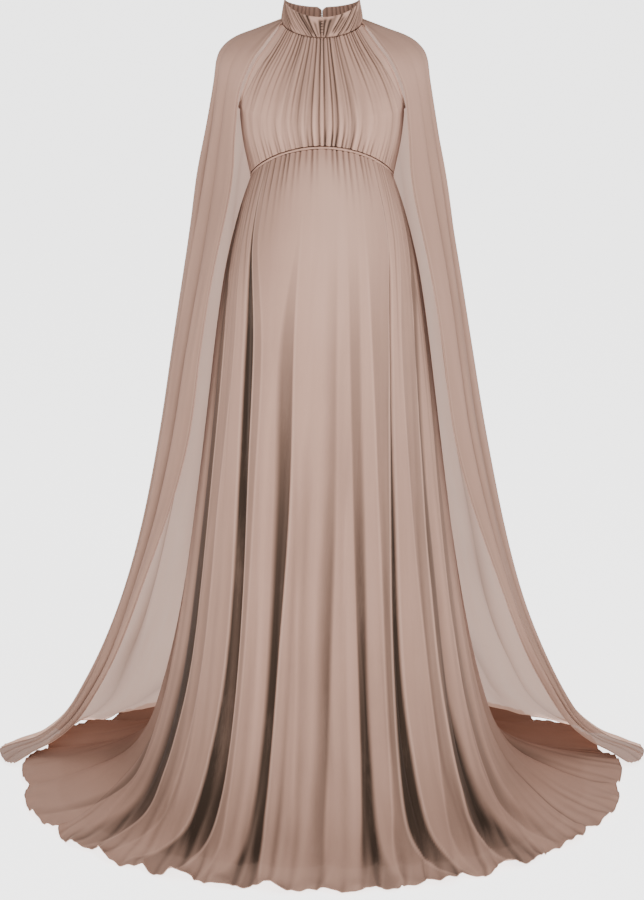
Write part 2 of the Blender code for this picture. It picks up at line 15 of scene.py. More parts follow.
import bpy
import numpy as np
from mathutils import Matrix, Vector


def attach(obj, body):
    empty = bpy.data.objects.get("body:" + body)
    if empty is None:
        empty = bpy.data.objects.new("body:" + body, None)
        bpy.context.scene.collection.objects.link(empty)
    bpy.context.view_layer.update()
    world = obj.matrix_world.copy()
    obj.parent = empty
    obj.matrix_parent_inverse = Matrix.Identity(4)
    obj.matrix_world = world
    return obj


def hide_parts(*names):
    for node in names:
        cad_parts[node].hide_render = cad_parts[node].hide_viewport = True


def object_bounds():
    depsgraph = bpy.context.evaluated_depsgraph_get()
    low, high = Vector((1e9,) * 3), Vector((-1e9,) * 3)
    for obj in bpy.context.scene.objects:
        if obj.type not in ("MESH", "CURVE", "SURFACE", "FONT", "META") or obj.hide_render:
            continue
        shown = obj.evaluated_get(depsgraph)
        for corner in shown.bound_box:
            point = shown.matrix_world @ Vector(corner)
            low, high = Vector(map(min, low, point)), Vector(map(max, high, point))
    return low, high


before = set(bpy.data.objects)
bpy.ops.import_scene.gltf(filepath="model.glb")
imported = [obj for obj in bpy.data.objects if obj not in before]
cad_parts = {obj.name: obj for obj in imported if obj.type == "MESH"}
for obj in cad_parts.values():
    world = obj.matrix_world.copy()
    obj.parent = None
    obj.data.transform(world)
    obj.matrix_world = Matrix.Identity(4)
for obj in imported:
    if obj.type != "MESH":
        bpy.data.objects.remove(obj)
CAD_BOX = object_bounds()

Array = np.ndarray
Colour = tuple[float, float, float]

LOG = logging.getLogger("cape_dress")

NECK_HEIGHT = 1.415
FLOOR_Z = float(CAD_BOX[0][2])
FLOOR_GAP = 0.0005
HALF_CLOTH = 0.0010
WAIST_ARCH_POWER = 1.34
SEAM_ARCH_POWER = 1.30
SPREAD_POWER = 1.9
SCALLOP = 0.017
FULL_FOLD = 0.024
FULL_CAPE_FOLD = 0.013
LEVEL_SAMPLES = 1500
COLLAR_DROP_POWER = 1.25


class Table:
    """Rows of named columns, read smoothly between the rows."""

    def __init__(self, columns: str, rows: Sequence[Sequence[float]]) -> None:
        """Keep the rows and the slopes between them.

        Args:
            columns: The names of the columns, with spaces between.
            rows: One sequence of numbers for each row.
        """
        self.columns = columns.split()
        self.values = np.array(rows, float)
        self.count = len(rows)
        slopes = np.empty_like(self.values)
        slopes[1:-1] = (self.values[2:] - self.values[:-2]) / 2.0
        slopes[0] = self.values[1] - self.values[0]
        slopes[-1] = self.values[-1] - self.values[-2]
        self.slopes = slopes

    def at(self, row: Array) -> dict[str, Array]:
        """Read every column at row numbers that may lie between two rows.

        Args:
            row: The row numbers.

        Returns:
            The values of each column by its name.
        """
        row = np.asarray(row, float)
        low = np.clip(np.floor(row).astype(int), 0, self.count - 2)
        t = (row - low)[..., None]
        p0 = self.values[low]
        p1 = self.values[low + 1]
        m0 = self.slopes[low]
        m1 = self.slopes[low + 1]
        value = (p0 * (1 + 2 * t) * (1 - t) ** 2 + m0 * t * (1 - t) ** 2
                 + p1 * t * t * (3 - 2 * t) + m1 * t * t * (t - 1))
        return {name: value[..., i] for i, name in enumerate(self.columns)}

    def column(self, name: str) -> Array:
        """Return one column as it stands."""
        return self.values[:, self.columns.index(name)]


# One row for each ring of the skirt, waist to hem. height is at the side seams and arch lifts the
# front. side and belly are the depths of the folds that start at the waist and below the belly. top
# and fan turn the folds from their places at mid height to those at the waist and at the hem. sink is
# how much of a fold lies inside the ring: on the floor it all stands up.
SKIRT_RINGS = Table(
    "height arch width front back side belly top fan sink", [
        (1.1437, 0.0656, 0.1300, 0.1500, 0.0840, 0.0004, 0.0000, 1.00, 0.00, 1.00),
        (1.1220, 0.0610, 0.1385, 0.1740, 0.0920, 0.0030, 0.0000, 1.00, 0.00, 1.00),
        (1.0850, 0.0520, 0.1510, 0.2020, 0.1010, 0.0065, 0.0000, 1.00, 0.00, 1.00),
        (1.0300, 0.0350, 0.1660, 0.2290, 0.1120, 0.0110, 0.0010, 0.95, 0.00, 1.00),
        (0.9650, 0.0150, 0.1800, 0.2450, 0.1280, 0.0145, 0.0035, 0.72, 0.00, 1.00),
        (0.8700, 0.0020, 0.1945, 0.2580, 0.1530, 0.0175, 0.0090, 0.50, 0.00, 1.00),
        (0.7400, 0.0000, 0.2110, 0.2780, 0.1870, 0.0205, 0.0150, 0.30, 0.00, 1.00),
        (0.5900, 0.0000, 0.2300, 0.3080, 0.2250, 0.0225, 0.0195, 0.10, 0.00, 1.00),
        (0.4400, 0.0000, 0.2510, 0.3430, 0.2620, 0.0235, 0.0225, 0.00, 0.03, 1.00),
        (0.3000, 0.0000, 0.2750, 0.3790, 0.2980, 0.0240, 0.0240, 0.00, 0.12, 1.00),
        (0.1800, 0.0000, 0.3030, 0.4150, 0.3330, 0.0235, 0.0235, 0.00, 0.19, 0.95),
        (0.0900, 0.0000, 0.3340, 0.4480, 0.3660, 0.0210, 0.0210, 0.00, 0.22, 0.85),
        (0.0330, 0.0000, 0.3780, 0.4830, 0.3970, 0.0165, 0.0165, 0.00, 0.34, 0.50),
        (0.0100, 0.0000, 0.4550, 0.5320, 0.4180, 0.0120, 0.0120, 0.00, 0.68, 0.12),
        (0.0060, 0.0000, 0.5600, 0.5850, 0.4600, 0.0090, 0.0090, 0.00, 1.00, 0.00),
    ])

# One row for each valley between two folds of the skirt, as angles round the ring from the front:
# at the waist, at mid height and at the hem. depth scales the fold, waist is 1 where it starts at the
# waist seam and 0 where it starts below the belly. lean tips the fold after the valley to the right,
# and dark is how deep its shadow is.
SKIRT_VALLEYS = Table("top mid hem depth waist lean dark", [
    (-90.0, -90.0, -58.0, 0.80, 1.00, -0.12, 0.55),
    (-76.0, -70.0, -45.0, 0.80, 1.00, -0.18, 0.60),
    (-64.0, -55.0, -34.0, 0.50, 0.90, -0.10, 0.40),
    (-53.0, -37.0, -23.5, 1.25, 1.00, -0.24, 1.00),
    (-13.0, -19.3, -12.2, 1.05, 0.00, -0.20, 0.85),
    (8.0, 2.0, -0.5, 0.60, 0.00, 0.22, 0.30),
    (28.0, 16.3, 9.9, 0.85, 0.10, 0.24, 0.75),
    (38.0, 24.5, 14.0, 0.40, 0.50, 0.10, 0.35),
    (47.0, 32.3, 18.5, 1.20, 1.00, 0.05, 1.00),
    (57.0, 44.0, 25.5, 0.45, 0.90, 0.18, 0.45),
    (67.0, 57.0, 33.0, 0.85, 1.00, 0.18, 0.80),
    (79.0, 73.0, 45.0, 0.60, 1.00, 0.15, 0.55),
    (90.0, 90.0, 58.0, 0.80, 1.00, 0.04, 0.60),
    (107.0, 107.0, 81.0, 0.90, 1.00, 0.05, 0.70),
    (126.0, 124.0, 104.0, 0.70, 1.00, -0.04, 0.60),
    (143.0, 142.0, 129.0, 1.00, 1.00, 0.05, 0.80),
    (160.0, 161.0, 154.0, 0.80, 1.00, 0.03, 0.60),
    (179.0, 178.0, 178.0, 0.95, 1.00, -0.05, 0.75),
    (198.0, 197.0, 204.0, 0.75, 1.00, -0.03, 0.60),
    (215.0, 216.0, 230.0, 1.00, 1.00, 0.04, 0.80),
    (234.0, 234.0, 255.0, 0.80, 1.00, -0.05, 0.60),
    (253.0, 252.0, 279.0, 0.90, 1.00, -0.04, 0.70),
    (270.0, 270.0, 302.0, 0.80, 1.00, -0.12, 0.55),
])

# The levels at which the painted-shade hollows between the front folds are given.
BAND_LEVELS = (1.0, 3.0, 5.0, 7.0, 9.0, 11.0, 12.5, 14.0)


@dataclass(frozen=True)
class Band:
    """A painted-shade hollow between two front folds, with its sides as angles round the ring."""

    left: tuple[float, ...]
    right: tuple[float, ...]
    dark: tuple[float, ...]
    soft_left: float
    soft_right: float
    depth: float


BANDS = (
    Band((-100.0, -100.0, -99.0, -98.0, -96.0, -83.0, -75.0, -68.0),
         (-92.0, -92.0, -92.0, -92.0, -90.0, -76.4, -70.3, -64.7),
         (0.0, 0.0, 0.1, 0.2, 0.3, 0.5, 0.5, 0.2), 0.80, 0.06, 0.003),
    Band((-88.0, -86.0, -78.0, -73.0, -69.6, -68.5, -62.0, -55.3),
         (-80.0, -74.0, -64.9, -61.3, -58.6, -59.0, -53.6, -47.7),
         (0.3, 0.5, 0.7, 0.85, 0.95, 0.95, 0.75, 0.3), 0.50, 0.05, 0.004),
    Band((-80.0, -74.0, -64.9, -61.3, -58.6, -59.0, -53.6, -47.7),
         (-66.0, -60.0, -53.3, -54.1, -52.1, -52.2, -47.7, -43.3),
         (0.0, 0.1, 0.25, 0.30, 0.30, 0.30, 0.25, 0.1), 0.02, 0.10, 0.001),
    Band((-49.4, -50.9, -46.3, -41.7, -39.5, -40.6, -39.4, -38.3),
         (-48.4, -48.4, -38.8, -36.3, -33.9, -32.7, -30.9, -27.7),
         (0.35, 0.9, 1.0, 1.0, 1.0, 1.0, 0.75, 0.25), 0.12, 0.04, 0.004),
    Band((-48.4, -48.4, -38.8, -36.3, -33.9, -32.7, -30.9, -27.7),
         (-46.0, -43.0, -32.9, -32.0, -31.0, -29.8, -26.4, -22.3),
         (0.0, 0.15, 0.30, 0.34, 0.32, 0.30, 0.25, 0.1), 0.02, 0.12, 0.001),
    Band((-14.5, -15.5, -23.3, -22.8, -21.5, -21.9, -21.4, -21.0),
         (-13.0, -13.2, -14.7, -14.7, -16.9, -17.3, -15.0, -10.8),
         (0.0, 0.05, 0.50, 0.90, 1.0, 1.0, 0.80, 0.45), 0.38, 0.04, 0.004),
    Band((2.8, 2.8, -0.2, -2.4, -3.5, -4.5, -4.7, -4.2),
         (10.2, 9.8, 8.4, 6.7, 3.6, 1.6, 1.2, 0.9),
         (0.0, 0.05, 0.34, 0.46, 0.55, 0.55, 0.42, 0.3), 0.85, 0.22, 0.004),
    Band((14.6, 14.6, 13.9, 13.6, 13.1, 11.6, 9.1, 6.2),
         (23.0, 22.6, 21.5, 19.6, 17.7, 16.8, 16.4, 14.6),
         (0.0, 0.05, 0.40, 0.60, 0.85, 0.95, 0.75, 0.4), 0.22, 0.30, 0.004),
    Band((27.4, 27.4, 26.9, 26.1, 24.5, 21.9, 18.0, 14.3),
         (43.0, 44.8, 38.3, 32.1, 27.7, 25.2, 24.7, 24.1),
         (0.0, 0.08, 0.34, 0.36, 0.36, 0.36, 0.30, 0.15), 0.06, 0.02, 0.002),
    Band((43.0, 44.8, 38.3, 32.1, 27.7, 25.2, 24.7, 24.1),
         (44.0, 45.9, 40.3, 35.4, 31.7, 31.6, 30.4, 27.0),
         (0.4, 0.95, 1.0, 1.0, 1.0, 1.0, 0.85, 0.4), 0.04, 0.08, 0.004),
    Band((60.0, 56.0, 46.4, 44.6, 44.1, 40.5, 34.5, 28.2),
         (70.0, 68.6, 58.9, 52.6, 49.1, 47.3, 42.3, 35.9),
         (0.0, 0.10, 0.26, 0.30, 0.30, 0.30, 0.25, 0.1), 0.08, 0.02, 0.002),
    Band((70.0, 68.6, 58.9, 52.6, 49.1, 47.3, 42.3, 35.9),
         (76.0, 74.6, 65.0, 58.2, 55.0, 55.8, 53.0, 45.9),
         (0.3, 0.5, 0.65, 0.80, 0.88, 0.90, 0.85, 0.4), 0.05, 0.45, 0.004),
    Band((80.0, 80.0, 75.0, 66.5, 63.0, 62.2, 56.2, 48.4),
         (88.0, 88.0, 84.0, 75.0, 71.0, 69.0, 63.0, 54.0),
         (0.2, 0.25, 0.35, 0.45, 0.45, 0.45, 0.35, 0.15), 0.06, 0.60, 0.003),
)

# One row for each level of the bodice, collar to waist, for the right-hand edge and the middle.
# round is the power of the curve between them, 0.5 for an ellipse.
BODICE_FRONT = Table("edge_x edge_y edge_height mid_y mid_height round", [
    (0.0700, -0.0215, 1.4181, -0.0660, 1.3972, 0.72),
    (0.0830, -0.0440, 1.4000, -0.0880, 1.3745, 0.78),
    (0.0980, -0.0650, 1.3800, -0.1080, 1.3520, 0.82),
    (0.1133, -0.0760, 1.3600, -0.1260, 1.3290, 0.82),
    (0.1275, -0.0740, 1.3330, -0.1420, 1.3070, 0.78),
    (0.1385, -0.0610, 1.3040, -0.1540, 1.2860, 0.68),
    (0.1455, -0.0330, 1.2800, -0.1600, 1.2670, 0.58),
    (0.1480, -0.0002, 1.2660, -0.1620, 1.2510, 0.50),
    (0.1435, -0.0002, 1.2150, -0.1590, 1.2350, 0.50),
    (0.1302, -0.0002, 1.1488, -0.1505, 1.2148, 0.50),
])

BODICE_BACK = Table("edge_x edge_y edge_height mid_y mid_height round", [
    (0.0700, 0.0190, 1.4226, 0.0592, 1.4172, 0.72),
    (0.0780, 0.0330, 1.4040, 0.0690, 1.4010, 0.76),
    (0.0880, 0.0430, 1.3830, 0.0780, 1.3790, 0.80),
    (0.0990, 0.0490, 1.3600, 0.0850, 1.3550, 0.80),
    (0.1120, 0.0480, 1.3330, 0.0900, 1.3290, 0.76),
    (0.1260, 0.0400, 1.3040, 0.0930, 1.3020, 0.70),
    (0.1400, 0.0240, 1.2790, 0.0940, 1.2780, 0.58),
    (0.1480, 0.0002, 1.2660, 0.0935, 1.2600, 0.50),
    (0.1435, 0.0002, 1.2150, 0.0890, 1.2150, 0.50),
    (0.1302, 0.0002, 1.1488, 0.0845, 1.1488, 0.50),
])

# One row for each level of the cape, collar to hem: the widest point, the front edge and the middle
# of the back. fold is the depth of the soft folds and sink their share inside the level's curve.
# spread turns the back from an ellipse into the flatter sweep that it has on the floor.
CAPE_LEVELS = Table(
    "side_x side_y side_height edge_x edge_y edge_height back_y back_height fold sink spread", [
        (0.0746, 0.000, 1.4275, 0.0713, -0.0199, 1.4225, 0.0614, 1.4205, 0.0000, 1.0, 0.00),
        (0.1180, 0.000, 1.4110, 0.0890, -0.0430, 1.4045, 0.0840, 1.4030, 0.0003, 1.0, 0.00),
        (0.1550, 0.000, 1.3970, 0.1045, -0.0640, 1.3850, 0.1000, 1.3750, 0.0008, 1.0, 0.00),
        (0.1780, 0.000, 1.3800, 0.1200, -0.0750, 1.3650, 0.1100, 1.3480, 0.0012, 1.0, 0.00),
        (0.1900, 0.000, 1.3580, 0.1345, -0.0730, 1.3370, 0.1160, 1.3200, 0.0018, 1.0, 0.00),
        (0.1965, 0.001, 1.3150, 0.1490, -0.0560, 1.2950, 0.1200, 1.2850, 0.0028, 1.0, 0.00),
        (0.2100, 0.003, 1.2350, 0.1565, -0.0560, 1.2250, 0.1250, 1.2200, 0.0042, 1.0, 0.00),
        (0.2285, 0.006, 1.1400, 0.1640, -0.0720, 1.1370, 0.1350, 1.1350, 0.0060, 1.0, 0.00),
        (0.2500, 0.008, 1.0000, 0.1905, -0.0910, 1.0000, 0.1590, 1.0000, 0.0080, 1.0, 0.00),
        (0.2765, 0.010, 0.8400, 0.2195, -0.0980, 0.8400, 0.1930, 0.8400, 0.0100, 1.0, 0.00),
        (0.3040, 0.012, 0.6750, 0.2500, -0.0965, 0.6750, 0.2320, 0.6750, 0.0115, 1.0, 0.00),
        (0.3380, 0.016, 0.5100, 0.2940, -0.0840, 0.5100, 0.2730, 0.5100, 0.0125, 1.0, 0.00),
        (0.3750, 0.023, 0.3700, 0.3400, -0.0580, 0.3700, 0.3120, 0.3700, 0.0130, 1.0, 0.00),
        (0.4140, 0.036, 0.2600, 0.3840, -0.0240, 0.2600, 0.3450, 0.2600, 0.0125, 1.0, 0.12),
        (0.4550, 0.052, 0.1700, 0.4260, 0.0120, 0.1700, 0.3760, 0.1700, 0.0110, 0.9, 0.25),
        (0.4970, 0.072, 0.0950, 0.4700, 0.0420, 0.0950, 0.4060, 0.0950, 0.0090, 0.7, 0.42),
        (0.5450, 0.095, 0.0480, 0.5170, 0.0540, 0.0480, 0.4400, 0.0480, 0.0070, 0.3, 0.62),
        (0.5960, 0.110, 0.0220, 0.5640, 0.0380, 0.0230, 0.4440, 0.0230, 0.0060, 0.1, 0.78),
        (0.6280, 0.115, 0.0060, 0.5900, 0.0050, 0.0060, 0.4550, 0.0060, 0.0050, 0.0, 0.85),
    ])

# One row for each valley of the cape's folds. place runs from -2 at the left front edge over -1 at
# the left side seam, 0 at the middle of the back and 1 at the right side seam to 2 at the right edge.
CAPE_VALLEYS = Table("place depth lean", [
    (-2.00, 0.30, -0.05),
    (-1.68, 0.80, 0.08),
    (-1.34, 0.95, -0.06),
    (-1.00, 0.80, 0.04),
    (-0.83, 0.80, 0.06),
    (-0.65, 1.00, -0.05),
    (-0.47, 0.80, 0.05),
    (-0.29, 1.00, 0.07),
    (-0.11, 0.80, -0.04),
    (0.10, 0.90, 0.06),
    (0.27, 1.00, -0.06),
    (0.46, 0.80, 0.05),
    (0.63, 1.00, -0.05),
    (0.82, 0.80, 0.04),
    (1.00, 0.80, -0.06),
    (1.33, 0.95, 0.06),
    (1.67, 0.80, -0.08),
    (2.00, 0.30, 0.05),
])

# One row for each edge of the collar: the ring's half width, its depth to front and back, and its
# height at the sides with the drops at front and back.
COLLAR_EDGES = Table("width front back height front_drop back_drop", [
    (0.0738, 0.0662, 0.0600, 1.4250, 0.0270, 0.0070),
    (0.0732, 0.0656, 0.0598, 1.4335, 0.0270, 0.0085),
    (0.0715, 0.0644, 0.0592, 1.4425, 0.0270, 0.0105),
    (0.0698, 0.0630, 0.0584, 1.4515, 0.0275, 0.0130),
    (0.0680, 0.0614, 0.0574, 1.4600, 0.0280, 0.0155),
])

# Where the skirt's hem curls over, as the angle round the hem and the width of the curl in degrees.
HEM_CURLS = Table("angle width", [
    (-44.0, 2.6),
    (-26.3, 2.2),
    (-9.0, 2.4),
    (21.7, 2.2),
    (35.5, 2.0),
    (52.0, 2.4),
])


def smooth(value: Array, low: float, high: float) -> Array:
    """Return 0 below low, 1 above high and a smooth step between."""
    t = np.clip((value - low) / (high - low), 0.0, 1.0)
    return t * t * (3.0 - 2.0 * t)


def signed_power(value: Array, power: Array) -> Array:
    """Return value to a power with its sign kept."""
    return np.sign(value) * np.abs(value) ** power


def same_place(place: float) -> float:
    """Return a tuck's own place, for a sheet whose grid uses the same places."""
    return place


def turned_degrees(angle: Array) -> Array:
    """Return an angle in radians as degrees from -180 to 180, 0 at the front."""
    turn = np.degrees(angle)
    return np.where(turn > 180.0, turn - 360.0, turn)


def bell(distance: Array, width: Array) -> Array:
    """Return 1 at no distance, falling to none past about two widths."""
    return np.exp(-((distance / width) ** 2))


class Drift:
    """Slow, seeded unevenness over two coordinates, from about -1 to 1."""

    def __init__(self, seed: int, ring: float, waves: tuple[int, int], levels: tuple[float, float],
                 count: int = 9) -> None:
        """Draw the waves.

        Args:
            seed: The seed of the random numbers.
            ring: The length after which the first coordinate comes round again.
            waves: The fewest and the most waves in one ring.
            levels: The shortest and the longest wave over the second coordinate.
            count: How many waves are added up.
        """
        draw = np.random.default_rng(seed)
        self.turns = 2.0 * math.pi / ring * draw.integers(waves[0], waves[1] + 1, count)
        self.rises = 2.0 * math.pi / draw.uniform(levels[0], levels[1], count)
        self.starts = draw.uniform(0.0, 2.0 * math.pi, count)
        self.signs = draw.choice((-1.0, 1.0), count)

    def at(self, across: Array, down: Array) -> Array:
        """Return the unevenness at two coordinates."""
        total = 0.0
        for turn, rise, start, sign in zip(self.turns, self.rises, self.starts, self.signs):
            total = total + np.sin(turn * across + sign * rise * down + start)
        return total / math.sqrt(len(self.turns))


@dataclass
class Relief:
    """What a sheet's details do to its grid, and the marks that its finish reads."""

    raised: Array
    shift: Array
    # Painted shade, and dark seam lines; the finish is darker where it is higher.
    shade: Array
    # Painted highlights and a few pale strips; the finish is paler where it is higher.
    line: Array
    lift: Array

    @classmethod
    def none(cls, shape: tuple[int, int]) -> "Relief":
        """Return a relief that changes nothing."""
        return cls(*(np.zeros(shape) for _ in range(5)))


class Net:
    """A grid of points on a cloth surface, with the measures that its details need."""

    def __init__(self, points: Array, level: Array, place: Array, outward: float) -> None:
        """Measure the grid.

        Args:
            points: The grid's points, by level and then by place across the cloth.
            level: The level of each row.
            place: The place of each column.
            outward: 1 or -1, which turns the normals outwards.
        """
        self.points = points
        self.level = level[:, None]
        self.place = place[None, :]
        self.outward = outward
        along = np.gradient(points, level, axis=0)
        self.across = np.gradient(points, place, axis=1)
        normal = np.cross(self.across, along) * outward
        self.normal = normal / np.linalg.norm(normal, axis=2, keepdims=True)
        self.scale = np.linalg.norm(self.across, axis=2)
        self.span = self.running_length(points, 1)
        self.drop = self.running_length(points, 0)
        self.rise = self.drop[-1:] - self.drop

    @staticmethod
    def running_length(points: Array, axis: int) -> Array:
        """Return the length of cloth from the first point, along one axis of a grid."""
        steps = np.linalg.norm(np.diff(points, axis=axis), axis=2)
        start = np.zeros_like(np.take(steps, [0], axis=axis))
        return np.concatenate([start, np.cumsum(steps, axis=axis)], axis=axis)

    def span_at(self, place: float) -> Array:
        """Return the span of every row at one place across the cloth."""
        places = self.place[0]
        low = int(np.clip(np.searchsorted(places, place) - 1, 0, len(places) - 2))
        part = (place - places[low]) / (places[low + 1] - places[low])
        return (self.span[:, low] * (1.0 - part) + self.span[:, low + 1] * part)[:, None]

    def moved(self, relief: Relief) -> Array:
        """Return the grid's points with their details."""
        points = (self.points + self.normal * relief.raised[..., None]
                  + self.across * relief.shift[..., None])
        points[..., 2] += relief.lift
        points[..., 2] = np.maximum(points[..., 2], FLOOR_Z + FLOOR_GAP)
        return points


@dataclass(frozen=True)
class Tucks:
    """A row of small gathered tucks that run from one edge of a sheet and fade."""

    seed: int
    count: int
    first: float
    last: float
    depth: float
    width: float
    shortest: float
    longest: float
    ends: float = 1.6
    jitter: float = 0.28
    spread: float = 0.7
    sway_share: float = 0.10
    sway_rate: float = 60.0
    glint: float = 0.32
    glint_place: float = 2.2
    glint_width: float = 0.7

    def places(self) -> Array:
        """Return where each tuck starts across the sheet."""
        draw = np.random.default_rng(self.seed)
        step = (self.last - self.first) / self.count
        middle = self.first + step * (np.arange(self.count) + 0.5)
        return middle + draw.uniform(-self.jitter, self.jitter, self.count) * step

    def add(self, net: Net, relief: Relief, distance: Array, place_of: Callable[[float], float],
            lengths: Callable[[float], float] | None = None, dark: float = 0.75) -> None:
        """Press the tucks into a relief.

        Args:
            net: The grid that they lie on.
            relief: The relief that they are pressed into.
            distance: How far each point of the grid is from the edge where the tucks start.
            place_of: Turns a tuck's own place into the grid's place.
            lengths: Scales a tuck's length by its own place.
            dark: How much shade the bottom of a tuck has.
        """
        draw = np.random.default_rng(self.seed + 1)
        for place in self.places():
            length = draw.uniform(self.shortest, self.longest)
            if lengths is not None:
                length *= lengths(place)
            size = draw.uniform(0.55, 1.15)
            phase = draw.uniform(0.0, 2.0 * math.pi)
            sway = draw.uniform(0.0, self.sway_share) * self.width
            middle = net.span_at(place_of(place)) + sway * np.sin(self.sway_rate * distance + phase)
            width = self.width * (1.0 + self.spread * distance / length)
            fade = np.exp(-((distance / length) ** self.ends)) * size
            pressed = fade * bell(net.span - middle, width)
            relief.raised -= self.depth * pressed
            # Painted shade in the tuck and a painted highlight beside it.
            relief.shade += dark * pressed
            beside = net.span - middle - self.glint_place * width
            relief.line += self.glint * fade * bell(beside, self.glint_width * width)


@dataclass(frozen=True)
class Creases:
    """Long shallow creases, some raised and some pressed in, that run down a sheet."""

    seed: int
    count: int
    first: float
    last: float
    depth: float
    width: float
    start: tuple[float, float]
    end: tuple[float, float]
    sway: float = 0.004
    sway_rate: float = 7.0
    fade_in: float = 0.12
    fade_out: float = 0.10
    shade: float = 0.10

    def add(self, net: Net, relief: Relief) -> None:
        """Add the creases to a relief."""
        draw = np.random.default_rng(self.seed)
        for _ in range(self.count):
            place = draw.uniform(self.first, self.last)
            width = self.width * draw.uniform(0.6, 1.6)
            depth = self.depth * draw.uniform(-1.0, 1.0)
            top = draw.uniform(*self.start)
            low = draw.uniform(*self.end)
            phase = draw.uniform(0.0, 2.0 * math.pi)
            sway = self.sway * np.sin(self.sway_rate * net.drop + phase)
            fade = (smooth(net.drop, top, top + self.fade_in)
                    * smooth(net.rise, low, low + self.fade_out))
            mark = fade * bell(net.span - net.span_at(place) - sway, width)
            relief.raised += depth * mark
            # Painted shade in the pressed creases and painted light on the raised ones.
            relief.shade -= self.shade * np.sign(depth) * mark


@dataclass(frozen=True)
class RowSpacing:
    """How far apart a sheet's rows are, with less between them near its top and its hem."""

    step: float
    top_less: float
    low_less: float
    top_reach: float
    low_reach: float = 0.10

    def at(self, top: Array, low: Array) -> Array:
        """Return the spacing at the given lengths to the top and to the hem."""
        return (self.step - self.top_less * np.exp(-top / self.top_reach)
                - self.low_less * np.exp(-low / self.low_reach))


def even_levels(form: "Form", place: float, spacing: RowSpacing, rows: int) -> Array:
    """Spread levels down a form so that the rows are as far apart as asked.

    Args:
        form: The form.
        place: The place across the cloth where the spacing is measured.
        spacing: The wanted spacing.
        rows: The number of rows.

    Returns:
        The level of each row.
    """
    fine = np.linspace(0.0, form.table.count - 1.0, LEVEL_SAMPLES)
    points = form.base(fine[:, None], np.array([[place]]))
    length = Net.running_length(points, 0)[:, 0]
    density = 1.0 / spacing.at(length, length[-1] - length)
    total = np.concatenate([[0.0], np.cumsum(0.5 * (density[1:] + density[:-1]) * np.diff(length))])
    return np.interp(np.linspace(0.0, total[-1], rows), total, fine)


class Form:
    """A cloth surface that is read by level, s, and by place across the cloth, u."""

    table: Table
    outward = 1.0

    def base(self, s: Array, u: Array) -> Array:
        """Return the points of the plain surface.

        Args:
            s: The levels.
            u: The places across the cloth.

        Returns:
            The points, with x, y and z on the last axis.
        """
        raise NotImplementedError


